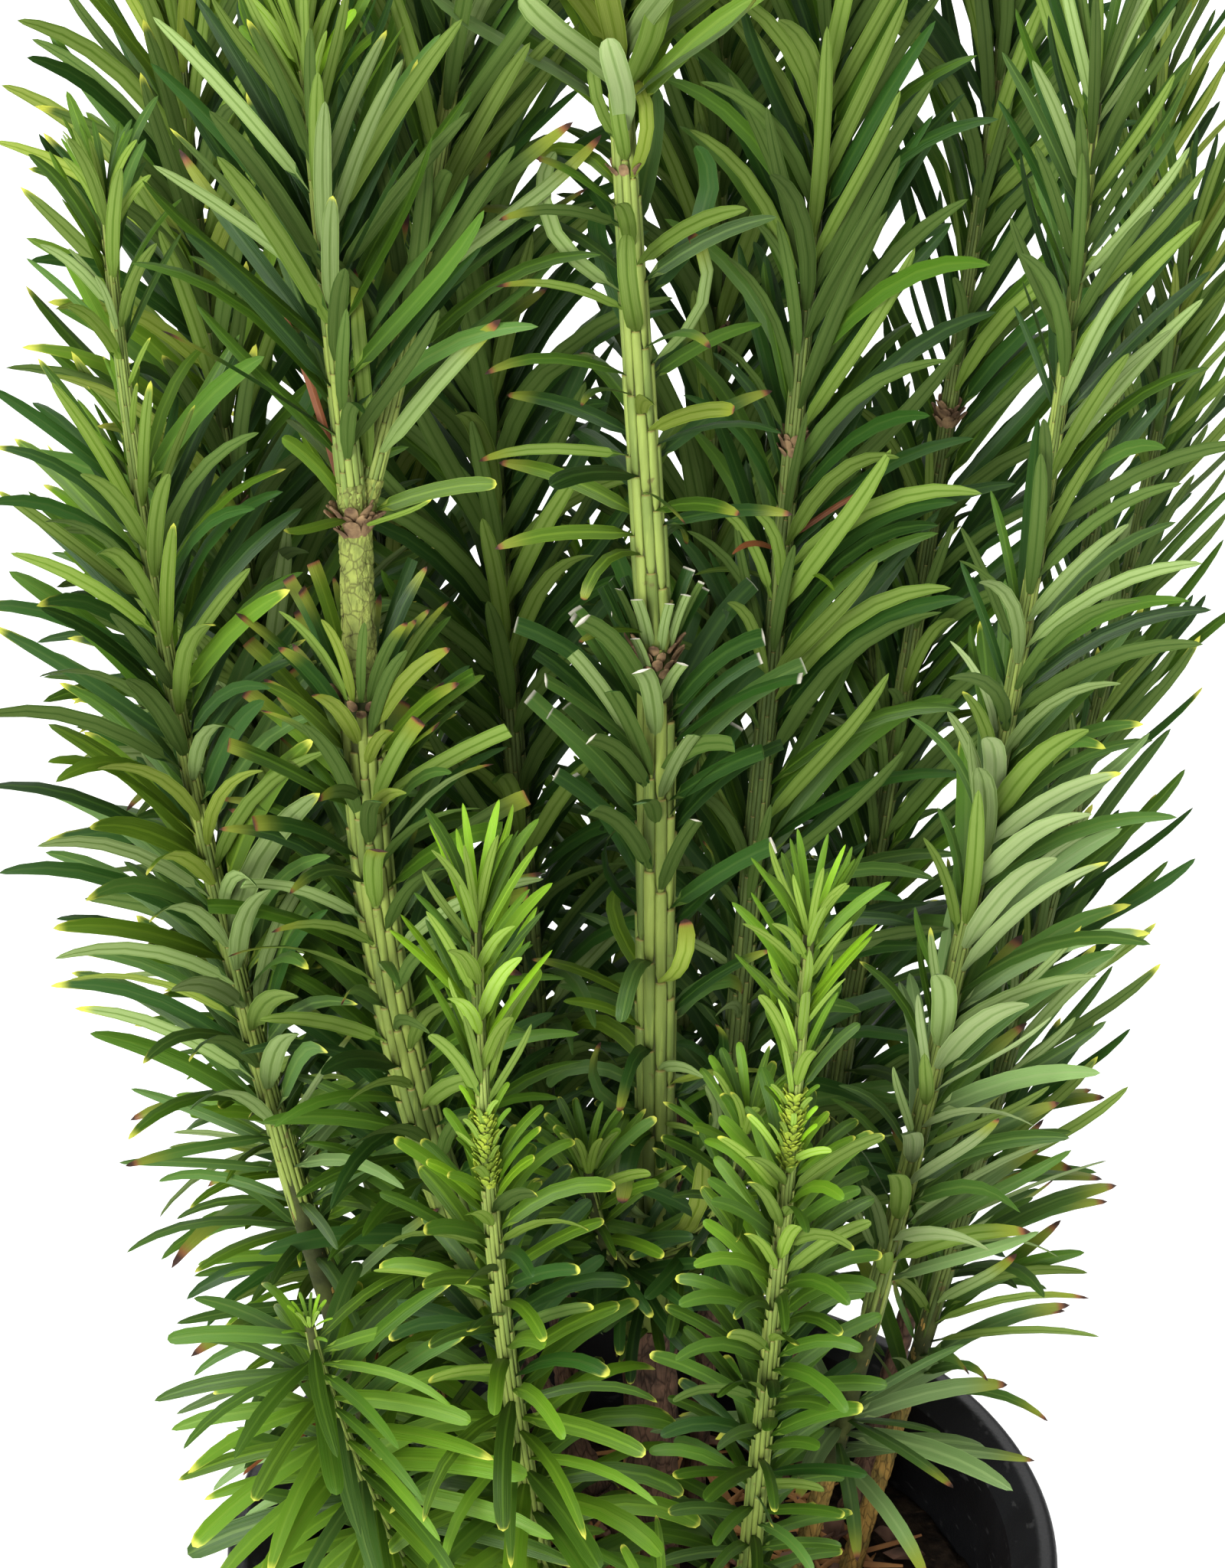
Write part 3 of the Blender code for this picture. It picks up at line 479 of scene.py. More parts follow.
# (tip, from and to along the blade, its colour there)
TIP_BANDS = (
    ("brown", 0.56, 0.78, (0.150, 0.185, 0.020)),
    ("brown", 0.78, 0.86, (0.180, 0.075, 0.028)),
    ("brown", 0.84, 0.91, (0.040, 0.020, 0.014)),
    ("yellow", 0.80, 0.93, (0.440, 0.460, 0.060)),
    ("white", 0.84, 0.90, (0.440, 0.420, 0.340)),
)


# Node trees

class Wire:
    """A socket of a tree. Arithmetic on it adds Math nodes."""

    def __init__(self, nodes, socket):
        self.nodes = nodes
        self.socket = socket

    def maths(self, operation, *values):
        return self.nodes.add("ShaderNodeMath", *values, operation=operation)

    def __add__(self, other):
        return self.maths("ADD", self, other)

    def __sub__(self, other):
        return self.maths("SUBTRACT", self, other)

    def __rsub__(self, other):
        return self.maths("SUBTRACT", other, self)

    def __mul__(self, other):
        return self.maths("MULTIPLY", self, other)

    def __rtruediv__(self, other):
        return self.maths("DIVIDE", other, self)

    def __abs__(self):
        return self.maths("ABSOLUTE", self)

    __radd__ = __add__
    __rmul__ = __mul__

    def rise(self, low, high):
        """0 below low, 1 above high, smooth between."""
        ends = {"From_Min": low, "From_Max": high}
        return self.nodes.add("ShaderNodeMapRange", self, interpolation_type="SMOOTHSTEP", **ends)


class Nodes:
    """A tree of nodes under construction."""

    def __init__(self, tree):
        self.tree = tree

    def add(self, kind, *values, first=0, out=0, **named):
        """Adds a node and returns one output. The values go to its sockets, from the first on. A capitalised
        name is a socket's too, and any other is a setting's."""
        made = self.tree.nodes.new(kind)
        sockets = {first + i: value for i, value in enumerate(values)}
        for name, value in named.items():
            if name[0].isupper():
                sockets[name.replace("_", " ")] = value
            else:
                setattr(made, name, value)
        for key, value in sockets.items():
            self.feed(made.inputs[key], value)
        return Wire(self, made.outputs[out])

    def feed(self, socket, value):
        if isinstance(value, Wire):
            self.tree.links.new(value.socket, socket)
        elif isinstance(value, tuple) and socket.type == "RGBA":
            socket.default_value = (*value, 1.0)
        else:
            socket.default_value = value


class Paint(Nodes):
    """A material under construction, on its Principled shader."""

    def __init__(self, name, specular):
        self.material = bpy.data.materials.new(name)
        self.material.use_nodes = True
        super().__init__(self.material.node_tree)
        self.shader = self.tree.nodes["Principled BSDF"]
        self.feed(self.shader.inputs["Specular IOR Level"], specular)

    def mix(self, factor, start, end):
        """From the start colour to the end colour."""
        return self.add("ShaderNodeMix", start, end, first=6, out=2, data_type="RGBA", Factor=factor)

    def places(self, stretch):
        """Object coordinates, stretched along the axes."""
        here = self.add("ShaderNodeTexCoord", out="Object")
        return self.add("ShaderNodeVectorMath", here, stretch, operation="MULTIPLY")

    def noise(self, size, detail=3.0, stretch=(1.0, 1.0, 1.0)):
        """Noise whose patches are about size metres wide."""
        return self.add("ShaderNodeTexNoise", Vector=self.places(stretch), Scale=1.0 / size, Detail=detail)

    def blade(self, way):
        """A point's place on a blade: 0 to 1 across it (way 0), and from its foot to its tip (way 1)."""
        return self.add("ShaderNodeSeparateXYZ", self.add("ShaderNodeUVMap", uv_map="blade"), out=way)

    def off_middle(self):
        """How far a point on a blade is from its middle line: 0 on it, 1 at the margins."""
        return abs(self.blade(0) * 2.0 - 1.0)

    def own(self, label):
        """A number that each small piece has of its own."""
        return self.add("ShaderNodeAttribute", attribute_name=label, out="Fac")

    def veins(self):
        """Fine streaks along a blade, other ones on each: veins in the bump and roughness, and painted sheen
        where they pale the upper side's colour.
        """
        across, along, apart = self.blade(0) * 15.0, self.blade(1) * 3.0, self.own("tone") * 60.0
        place = self.add("ShaderNodeCombineXYZ", across, along, apart)
        return self.add("ShaderNodeTexNoise", Vector=place, Scale=1.0, Detail=3.0)

    def with_tips(self, colour):
        """The yellow, brown or cut white end of each needle that has one."""
        kind = self.own("tip")
        along = self.blade(1) + self.own("tone") * 0.10 - 0.05
        rim = self.off_middle().rise(0.62, 1.0) * along.rise(0.70, 0.84)
        for name, low, high, shade in TIP_BANDS:
            has = 1.0 - abs(kind - TIP_KINDS.index(name)).rise(0.2, 0.4)
            reach = along.rise(low, high)
            if name == "yellow":
                reach = reach + rim * 0.5
            colour = self.mix(has * reach, colour, shade)
        return colour

    def done(self, colour, roughness, height=None, depth=0.0):
        """Feeds the shader, with a bump of this depth in metres where a height is given."""
        self.feed(self.shader.inputs["Base Color"], colour)
        self.feed(self.shader.inputs["Roughness"], roughness)
        if height is not None:
            self.feed(self.shader.inputs["Normal"], self.add("ShaderNodeBump", Distance=depth, Height=height))
        return self.material


def darker(colour, by):
    return tuple(channel * by for channel in colour)


def upper_side(name, tint):
    """The glossy face of a needle, with its raised pale midrib."""
    paint = Paint(name, 0.17)
    tone, off, veins = paint.own("tone"), paint.off_middle(), paint.veins()
    blade = paint.mix(tone, darker(tint.top, 0.60), darker(tint.top, 1.50))
    # painted sheen: pale streaks along the upper side of the blade
    blade = paint.mix(veins.rise(0.40, 0.72) * 0.45, blade, darker(tint.rib, 0.8))
    # painted shade: the upper side darkens towards the needle's foot by the stem
    blade = paint.mix(1.0 - paint.blade(1).rise(0.0, 0.55), blade, darker(tint.top, 0.55))
    rib = 1.0 - off.rise(0.05, 0.15)
    colour = paint.mix(rib * 0.55, blade, tint.rib)
    colour = paint.mix(off.rise(0.86, 1.0) * 0.4, colour, tint.rib)
    return paint.done(paint.with_tips(colour), 0.34 + veins * 0.2, veins, 0.00008)


def under_side(name, tint):
    """The dull face, with two pale bands beside a thin dark line and a thin bright margin."""
    paint = Paint(name, 0.06)
    tone, off, veins = paint.own("tone"), paint.off_middle(), paint.veins()
    bands = off.rise(0.05, 0.22) * (1.0 - off.rise(0.66, 0.90))
    ground = paint.mix(tone, darker(tint.under, 0.68), darker(tint.under, 1.28))
    pale = paint.mix(tone, darker(tint.bands, 0.66), darker(tint.bands, 1.12))
    # painted shade: the pale bands fade towards the needle's foot by the stem
    colour = paint.mix(bands * (0.3 + paint.blade(1).rise(0.0, 0.6) * 0.5), ground, pale)
    colour = paint.mix(veins.rise(0.45, 0.75) * 0.35, colour, darker(tint.bands, 1.15))
    colour = paint.mix((1.0 - off.rise(0.02, 0.08)) * 0.30, colour, darker(tint.under, 0.6))
    colour = paint.mix(off.rise(0.90, 1.0) * 0.45, colour, darker(tint.bands, 1.2))
    return paint.done(paint.with_tips(colour), 0.5 + veins * 0.14, veins, 0.00008)


def ribbed_green(name, high, low):
    """The leaf bases on a shoot: yellow-green, browner in patches, with fine lengthwise lines."""
    paint = Paint(name, 0.14)
    patches = paint.noise(0.016) * 0.6 + paint.own("tone") * 0.4
    lines = paint.noise(0.0009, stretch=(1.0, 1.0, 0.10))
    specks = paint.noise(0.0030).rise(0.66, 0.74)
    ground = paint.mix(patches.rise(0.25, 0.75), low, high)
    ground = paint.mix(lines.rise(0.5, 0.7) * 0.35, ground, darker(high, 1.3))
    scar = 1.0 - paint.blade(1).rise(0.0, 0.06)
    ground = paint.mix(scar * 0.5, ground, (0.30, 0.20, 0.075))
    return paint.done(paint.mix(specks * 0.6, ground, (0.085, 0.048, 0.022)), 0.5, lines, 0.00012)


def bark_finish(name, high, low, cracks, size, squat):
    """Scaly bark: plates with darker fissures between them. squat is a plate's width to its height."""
    paint = Paint(name, 0.15)
    spread = paint.places((1.0, 1.0, squat))
    cell = paint.add("ShaderNodeTexVoronoi", feature="DISTANCE_TO_EDGE", Vector=spread, Scale=1.0 / size)
    fissure = paint.noise(size * 0.7, 4.0, (1.0, 1.0, squat / 2))
    gap = (1.0 - cell.rise(0.0, 0.09)) * 0.60 + (1.0 - fissure.rise(0.30, 0.42)) * 0.40
    patches = paint.noise(0.006)
    grain = paint.noise(0.0009, stretch=(1.0, 1.0, 0.2))
    ground = paint.mix(patches.rise(0.35, 0.65), low, high)
    ground = paint.mix(grain.rise(0.45, 0.75) * 0.5, ground, darker(high, 1.4))
    height = grain * 0.5 + fissure.rise(0.25, 0.6)
    return paint.done(paint.mix(gap, ground, cracks), 0.86, height, 0.0004)


def plastic_finish(name):
    """Black moulded plastic, faintly grained and scuffed along its lip."""
    paint = Paint(name, 0.22)
    grain = paint.noise(0.0009, 2.0)
    haze = paint.noise(0.035)
    scuffs = paint.noise(0.0045, 4.0, (1.0, 1.0, 3.0)).rise(0.62, 0.72)
    ground = paint.mix(haze.rise(0.35, 0.7), (0.0055, 0.0055, 0.0060), (0.011, 0.0115, 0.013))
    colour = paint.mix(scuffs * 0.35, ground, (0.055, 0.055, 0.054))
    return paint.done(colour, 0.42 + haze * 0.16 + scuffs * 0.12, grain, 0.00008)


def mix_finish(name):
    """Dark peaty potting mix with paler fibres."""
    paint = Paint(name, 0.1)
    crumbs = paint.noise(0.0035, 5.0)
    fibres = paint.noise(0.0016, 3.0, (0.4, 1.0, 1.0)).rise(0.62, 0.72)
    ground = paint.mix(crumbs.rise(0.3, 0.7), (0.006, 0.0045, 0.0035), (0.034, 0.022, 0.014))
    return paint.done(paint.mix(fibres * 0.5, ground, (0.10, 0.062, 0.036)), 0.95, crumbs, 0.0012)


def litter_finish(name, pale, dark, size):
    paint = Paint(name, 0.15)
    patches = paint.noise(size)
    grain = paint.noise(0.0010, stretch=(1.0, 0.3, 1.0))
    return paint.done(paint.mix(patches.rise(0.3, 0.7), dark, pale), 0.8, grain, 0.0002)


def floor_finish(name):
    paint = Paint(name, 0.1)
    paint.feed(paint.shader.inputs["Emission Strength"], FLOOR_GLOW)
    cloudy = paint.noise(0.6)
    return paint.done(paint.mix(cloudy, (0.93, 0.93, 0.93), (0.96, 0.96, 0.96)), 0.9)


# Pieces made by geometry nodes

def mesh_of(form, name):
    """The finished form as a mesh."""
    mesh = bpy.data.meshes.new(name)
    form.to_mesh(mesh)
    form.free()
    return mesh


def placed(name, data):
    """A new object in the scene."""
    piece = bpy.data.objects.new(name, data)
    bpy.context.scene.collection.objects.link(piece)
    return piece


def settled(piece):
    """Applies a piece's modifiers, and keeps the result as a plain mesh."""
    piece.update_tag()
    bpy.context.view_layer.update()
    graph = bpy.context.evaluated_depsgraph_get()
    made = bpy.data.meshes.new_from_object(piece.evaluated_get(graph))
    piece.modifiers.clear()
    piece.data = made
    made.name = piece.name
    for spare in ("heading", "upper", "size", "shape", "zone", "thick"):
        if spare in made.attributes:
            made.attributes.remove(made.attributes[spare])
    return piece


def keep(piece, slot, *nodes):
    """Puts a finished piece on the body, in place of the solids it stands for. The slot is not used."""
    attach(piece, "root")
    if nodes:
        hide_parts(*nodes)


class Recipe(Nodes):
    """A tree of geometry nodes, with named inputs, that makes pieces from meshes."""

    def __init__(self, name, **inputs):
        super().__init__(bpy.data.node_groups.new(name, "GeometryNodeTree"))
        sockets = self.tree.interface
        sockets.new_socket("Geometry", in_out="OUTPUT", socket_type="NodeSocketGeometry")
        for label, kind in {"Geometry": "Geometry", **inputs}.items():
            sockets.new_socket(label.replace("_", " "), in_out="INPUT", socket_type="NodeSocket" + kind)
        self.start = self.tree.nodes.new("NodeGroupInput")

    def given(self, label):
        """One of the tree's inputs."""
        return Wire(self, self.start.outputs[label])

    def attribute(self, name, kind="FLOAT_VECTOR"):
        return self.add("GeometryNodeInputNamedAttribute", data_type=kind, Name=name)

    def random(self, least, most, kind, first=0, out=0):
        seed = self.given("Seed")
        return self.add(
            "FunctionNodeRandomValue", least, most, first=first, out=out, data_type=kind, Seed=seed)

    def shapes_on(self, points, index, turned, size):
        """One of the shapes on each point, made real."""
        shapes = self.add(
            "GeometryNodeCollectionInfo", Collection=self.given("Shapes"), Separate_Children=True,
            Reset_Children=True)
        stood = self.add(
            "GeometryNodeInstanceOnPoints", points, Instance=shapes, Pick_Instance=True,
            Instance_Index=index, Rotation=turned, Scale=size)
        return self.add("GeometryNodeRealizeInstances", stood)

    def finished(self, geometry, finish="Finish", **chosen):
        """Gives the geometry, or the chosen part of it, the finish of this name."""
        return self.add("GeometryNodeSetMaterial", geometry, Material=self.given(finish), **chosen)

    def ends_in(self, geometry):
        end = self.tree.nodes.new("NodeGroupOutput")
        self.tree.links.new(geometry.socket, end.inputs[0])
        return self.tree


def small_piece_tree():
    """Needles, leaf bases or bud scales on points, turned and sized by the points' attributes."""
    recipe = Recipe("small_pieces_on_points", Shapes="Collection", Finish="Material", Underside="Material")
    turned = recipe.add(
        "FunctionNodeAxesToRotation", recipe.attribute("heading"), recipe.attribute("upper"),
        primary_axis="Y", secondary_axis="Z")
    index = recipe.attribute("shape", "INT")
    made = recipe.shapes_on(recipe.given("Geometry"), index, turned, recipe.attribute("size"))
    zone = recipe.attribute("zone", "INT")
    under = recipe.add("FunctionNodeCompare", zone, UNDER, first=2, data_type="INT", operation="EQUAL")
    return recipe.ends_in(recipe.finished(recipe.finished(made), "Underside", Selection=under))


def litter_tree():
    """Shapes strewn on a surface at any turn, lying nearly flat."""
    recipe = Recipe(
        "strewn_litter", Shapes="Collection", Number_per_square_metre="Float", Smallest="Float",
        Largest="Float", Tilt="Float", Seed="Int", Finish="Material")
    tilt, number = recipe.given("Tilt"), recipe.given("Number per square metre")
    points = recipe.add(
        "GeometryNodeDistributePointsOnFaces", recipe.given("Geometry"), Density=number,
        Seed=recipe.given("Seed"))
    most = recipe.add("ShaderNodeCombineXYZ", tilt, tilt, math.tau)
    least = recipe.add("ShaderNodeVectorMath", most, operation="SCALE", Scale=-1.0)
    turned = recipe.add("FunctionNodeEulerToRotation", recipe.random(least, most, "FLOAT_VECTOR"))
    size = recipe.random(recipe.given("Smallest"), recipe.given("Largest"), "FLOAT", first=2, out=1)
    index = recipe.random(0, MOST_SHAPES, "INT", first=4, out=2)
    return recipe.ends_in(recipe.finished(recipe.shapes_on(points, index, turned, size)))


def stem_tree():
    """Stems swept along lines by their thickness, their skin lifted into plates, cracks and lumps."""
    recipe = Recipe(
        "stems_along_lines", Ring_spacing="Float", Sides="Int", Plate_size="Float", Plate_length="Float",
        Crack_depth="Float", Lump_height="Float", Finish="Material")
    line = recipe.add("GeometryNodeMeshToCurve", recipe.given("Geometry"))
    spacing = recipe.given("Ring spacing")
    line = recipe.add("GeometryNodeResampleCurve", mode="LENGTH", Curve=line, Length=spacing)
    ring = recipe.add("GeometryNodeCurvePrimitiveCircle", Resolution=recipe.given("Sides"), Radius=1.0)
    thick = recipe.attribute("thick", "FLOAT")
    skin = recipe.add("GeometryNodeCurveToMesh", Curve=line, Profile_Curve=ring, Scale=thick, Fill_Caps=True)
    tall = recipe.add("ShaderNodeCombineXYZ", 1.0, 1.0, recipe.given("Plate length"))
    place = recipe.add("GeometryNodeInputPosition")
    place = recipe.add("ShaderNodeVectorMath", place, tall, operation="DIVIDE")
    pattern = {"Vector": place, "Scale": 1.0 / recipe.given("Plate size")}
    plates = recipe.add("ShaderNodeTexVoronoi", feature="DISTANCE_TO_EDGE", **pattern)
    lumps = recipe.add("ShaderNodeTexNoise", Detail=3.0, **pattern)
    cracks = (plates.rise(0.0, 0.16) - 1.0) * recipe.given("Crack depth")
    height = (lumps - 0.5) * recipe.given("Lump height") + cracks
    outward = recipe.add("GeometryNodeInputNormal")
    lift = recipe.add("ShaderNodeVectorMath", outward, operation="SCALE", Scale=height)
    skin = recipe.add("GeometryNodeSetPosition", skin, Offset=lift)
    skin = recipe.add("GeometryNodeSetShadeSmooth", skin, Shade_Smooth=True)
    return recipe.ends_in(recipe.finished(recipe.add("GeometryNodeRealizeInstances", skin)))


def made_by(tree, name, source, **values):
    """Runs a tree on a mesh, with these values for its inputs, and keeps the result as a plain mesh."""
    piece = placed(name, source)
    modifier = piece.modifiers.new(tree.name, "NODES")
    modifier.node_group = tree
    inputs = {item.name: item.identifier for item in tree.interface.items_tree if item.in_out == "INPUT"}
    for label, value in values.items():
        modifier[inputs[label.replace("_", " ")]] = value
    return settled(piece)


SMALL_PIECE_TREE = small_piece_tree()
LITTER_TREE = litter_tree()
STEM_TREE = stem_tree()
# The relief of a stem's skin, named as its tree's inputs: a plate's length is to its width
Relief = namedtuple("Relief", "Ring_spacing Sides Plate_size Plate_length Crack_depth Lump_height")
TRUNK_RELIEF = Relief(0.0007, 44, 0.0022, 3.0, 0.0004, 0.0009)
LIMB_RELIEF = Relief(0.0008, 28, 0.0018, 2.6, 0.0003, 0.0006)
FORK_RELIEF = Relief(0.0005, 44, 0.0015, 1.5, 0.00035, 0.0005)
SHOOT_RELIEF = Relief(0.004, 12, 0.01, 3.0, 0.0, 0.0003)


def small_pieces(name, points, shapes, finish, underside):
    mesh = points.mesh(name + "_points")
    return made_by(SMALL_PIECE_TREE, name, mesh, Shapes=shapes, Finish=finish, Underside=underside)


def litter_on_mix(name, shapes, finish, reach, litter):
    """Litter on a flat disc just over the mix, clear of the wall by as far as one piece reaches."""
    form = bmesh.new()
    radius = wall_radius(SOIL_TOP) - reach
    bmesh.ops.create_circle(form, cap_ends=True, segments=LITTER_SIDES, radius=radius)
    bmesh.ops.translate(form, vec=(0, 0, SOIL_TOP + LITTER_LIFT), verts=form.verts)
    bmesh.ops.triangulate(form, faces=form.faces)
    disc = mesh_of(form, name + "_ground")
    piece = made_by(LITTER_TREE, name, disc, Shapes=shapes, Finish=finish, **litter._asdict())
    keep(piece, "potting_mix")


def stems(name, lines, relief, finish, slot, *nodes):
    """Stems along these lines, kept in place of their solids."""
    mesh = line_mesh(name + "_lines", lines)
    keep(made_by(STEM_TREE, name, mesh, Finish=finish, **relief._asdict()), slot, *nodes)


# Lines of the stems

class Spine:
    """The middle line of a stem: points, the length up to each, and the stem's radius anywhere on it."""

    def __init__(self, points, radii):
        self.points = points
        self.radii = radii
        self.lengths = [0.0]
        for a, b in zip(points, points[1:]):
            self.lengths.append(self.lengths[-1] + (b - a).length)
        self.length = self.lengths[-1]

    def at(self, distance):
        """The point, the direction and the radius at this distance from the foot."""
        distance = min(max(distance, 0.0), self.length)
        i = min(max(int(np.searchsorted(self.lengths, distance)) - 1, 0), len(self.points) - 2)
        share = (distance - self.lengths[i]) / (self.lengths[i + 1] - self.lengths[i])
        a, b = self.points[i], self.points[i + 1]
        radius = self.radii[0] + (self.radii[1] - self.radii[0]) * distance / self.length
        return a.lerp(b, share), (b - a).normalized(), radius

    def part(self, start, end):
        """The stretch from one distance to another, as a spine of its own."""
        inner = [p for p, s in zip(self.points, self.lengths) if start + SAME_PLACE < s < end - SAME_PLACE]
        first, last = self.at(start), self.at(end)
        return Spine([first[0], *inner, last[0]], (first[2], last[2]))


def whole_spine(shoot):
    """A shoot's line from foot to tip: it leaves its foot leaning out, and straightens as it rises."""
    foot = Vector(shoot.foot if len(shoot.foot) == 3 else (*shoot.foot, SOIL_TOP))
    tip = Vector(shoot.tip)
    points = []
    for i in range(LINE_STEPS + 1):
        share = i / LINE_STEPS
        out = 1.0 - (1.0 - share) ** shoot.bow
        points.append(Vector((
            foot.x + (tip.x - foot.x) * out,
            foot.y + (tip.y - foot.y) * out,
            foot.z + (tip.z - foot.z) * share,
        )))
    return Spine(points, (shoot.radius, TOP_RADIUS.get(shoot.name, TIP_RADIUS)))


def twig_of(mass, share, compass, length):
    """A side twig: it leaves the mass's stem at a slant and turns upright."""
    out = Vector((math.cos(math.radians(compass)), math.sin(math.radians(compass)), 0.0))
    lean = math.radians(TWIG_LEAN)
    points = [mass.at(share * mass.length)[0]]
    for i in range(TWIG_STEPS):
        turn = lean * (1 - i / TWIG_STEPS)
        heading = out * math.sin(turn) + Vector((0, 0, math.cos(turn)))
        points.append(points[-1] + heading * (length / TWIG_STEPS))
    return Spine(points, (TWIG_RADIUS, TIP_RADIUS))


def tree_of(rows):
    """A search tree over rows of x, y, z."""
    tree = KDTree(len(rows))
    for i, row in enumerate(rows):
        tree.insert(row[:3], i)
    tree.balance()
    return tree


def samples(lines):
    """Rows of x, y, z and radius along the lines."""
    rows = []
    for line in lines:
        for distance in [*np.arange(0, line.length, SAMPLE), line.length]:
            place, _, radius = line.at(distance)
            rows.append((*place, radius))
    return rows


class Plant:
    """Where each stem runs, and where there is room for a needle."""

    def __init__(self):
        self.whole = {shoot.name: whole_spine(shoot) for shoot in SHOOTS}
        self.masses, self.limbs, self.twigs = {}, {}, {}
        for shoot in SHOOTS:
            line = self.whole[shoot.name]
            bare_to = shoot.bare * line.length
            self.limbs[shoot.name] = line.part(0.0, bare_to) if shoot.bare else None
            self.masses[shoot.name] = line.part(bare_to, line.length)
            self.twigs[shoot.name] = [twig_of(self.masses[shoot.name], *twig) for twig in shoot.twigs]
        own = {name: samples([mass, *self.twigs[name]]) for name, mass in self.masses.items()}
        self.own = {name: tree_of(rows) for name, rows in own.items()}
        self.others = {
            name: tree_of([row for other, rows in own.items() if other != name for row in rows])
            for name in own
        }
        bare = [Spine(list(TRUNK), TRUNK_RADII), Spine(list(FORK), FORK_RADII)]
        self.wood = samples([*bare, *(limb for limb in self.limbs.values() if limb)])
        self.wood_tree = tree_of(self.wood)

    def holds(self, name, point, crowded):
        """Whether a needle of this shoot may pass here: clear of wood, mix and pot, in its shoot's reach."""
        box = zip(cad_box[0], point, cad_box[1])
        if any(not low - PAST_BOX < at < high + PAST_BOX for low, at, high in box):
            return False
        away = self.others[name].find(point)[2]
        if away < KEEP_OFF:
            return False
        if not crowded and self.own[name].find(point)[2] - away > OVERREACH:
            return False
        _, nearest, off = self.wood_tree.find(point)
        if off < self.wood[nearest][3] + WOOD_CLEAR:
            return False
        if point.z < SOIL_TOP + HALF_NEEDLE:
            return False
        inside = math.hypot(point.x, point.y) < wall_radius(point.z) - HALF_NEEDLE
        return inside or point.z > POT_HEIGHT + HALF_NEEDLE


def wall_radius(height):
    """The pot's inner wall, from the floor to the foot of the lip's slope."""
    top = RIM_RADIUS - LIP_TOP - LIP_SLOPE[0]
    foot = BASE_RADIUS - WALL
    return foot + (top - foot) * height / (POT_HEIGHT - LIP_SLOPE[1])


# Small shapes that repeat

def lofted(name, rings, spread, tip=None, zones=lambda j: 0):
    """A closed mesh through rings of points. spread gives each point's place across, from 0 to 1."""
    count, last = len(rings[0]), len(rings) - 1
    points = [point for ring in rings for point in ring]
    faces, kinds, places = [], [], []

    def add(face, kind, where):
        faces.append(face)
        kinds.append(kind)
        places.extend(where)

    for i in range(last):
        low, high = i / (last + 1), (i + 1) / (last + 1)
        for j in range(count):
            k = (j + 1) % count
            face = (i * count + j, i * count + k, (i + 1) * count + k, (i + 1) * count + j)
            add(face, zones(j), [(spread[j], low), (spread[k], low), (spread[k], high), (spread[j], high)])
    add(tuple(reversed(range(count))), 0, [(s, 0.0) for s in reversed(spread)])
    top = range(last * count, (last + 1) * count)
    if tip is None:
        add(tuple(top), 0, [(s, 1.0) for s in spread])
    else:
        points.append(tip)
        low = last / (last + 1)
        for j in range(count):
            k = (j + 1) % count
            add((top[j], top[k], len(points) - 1), zones(j), [(spread[j], low), (spread[k], low), (0.5, 1.0)])
    mesh = bpy.data.meshes.new(name)
    mesh.from_pydata(points, [], faces)
    mesh.attributes.new("zone", "INT", "FACE").data.foreach_set("value", kinds)
    layer = mesh.uv_layers.new(name="blade")
    layer.data.foreach_set("uv", [number for place in places for number in place])
    mesh.shade_smooth()
    return mesh


def needle_line(shape, share, steps=24):
    """A point on a needle of length 1, with the directions ahead, across the blade and out of its top.
    Y runs along the needle, Z out of its upper side, X across it."""
    place = Vector((0.0, 0.0, 0.0))
    for i in range(steps + 1):
        s = share * (i + 0.5) / steps if i < steps else share
        down = math.radians(shape.bend * s + shape.back * s * s)
        aside = math.radians(shape.sweep * s)
        ahead = Vector((
            math.sin(aside) * math.cos(down),
            math.cos(aside) * math.cos(down),
            -math.sin(down),
        ))
        if i < steps:
            place += ahead * (share / steps)
    level = Vector((math.cos(aside), -math.sin(aside), 0.0))
    rolled = min(share / NECK, 1.0)
    turn = Matrix.Rotation(math.radians(shape.roll) * rolled * rolled * (3 - 2 * rolled), 3, ahead)
    across = turn @ level
    return place, ahead, across, across.cross(ahead)


def needle_mesh(name, shape):
    """A flat keeled blade with a raised midrib: two edges, two rib edges and a keel in each ring."""
    rings = []
    for share, width in ENDS[shape.end]:
        place, _, across, up = needle_line(shape, share)
        half = shape.wide * width / 2
        body = shape.thick * (THIN_EDGE + (1 - THIN_EDGE) * width)
        ridge = up * body * RIB_HIGH
        rings.append([
            place - across * half,
            place - across * half * RIB_OUT + ridge,
            place + across * half * RIB_OUT + ridge,
            place + across * half,
            place - up * body * KEEL_DEEP,
        ])
    tip = needle_line(shape, 1.0)[0]
    mesh = lofted(name, rings, (0.0, 0.42, 0.58, 1.0, 0.5), tip, lambda j: UNDER if j > 2 else 0)
    mesh.set_sharp_from_angle(angle=math.radians(MARGIN_ANGLE))
    return mesh


def leaf_base_mesh(name):
    """The rounded strip that a needle leaves down its stem, of length, width and height 1."""
    rings = []
    for share, width, height in BASE_RINGS:
        heights = (-BASE_SUNK, height * SHOULDERS, height, height * SHOULDERS, -BASE_SUNK)
        rings.append([Vector((width / 2 * out, share, up)) for out, up in zip(BASE_OUT, heights)])
    return lofted(name, rings, (0.0, 0.25, 0.5, 0.75, 1.0))


def chip_mesh(name, seed):
    """A splintered flake of bark."""
    chance = random.Random(seed)
    form = bmesh.new()
    bmesh.ops.create_icosphere(form, subdivisions=1, radius=0.5)
    for vertex in form.verts:
        for axis, sizes in enumerate(CHIP_SIZES):
            vertex.co[axis] *= chance.uniform(*sizes)
    return mesh_of(form, name)


def shelf(name, meshes):
    """A collection of shapes for a tree to pick from, in the order of their names."""
    kept = bpy.data.collections.new(name)
    for i, mesh in enumerate(meshes):
        kept.objects.link(bpy.data.objects.new(f"{name}_{i:03d}", mesh))
    return kept


# Where the needles go

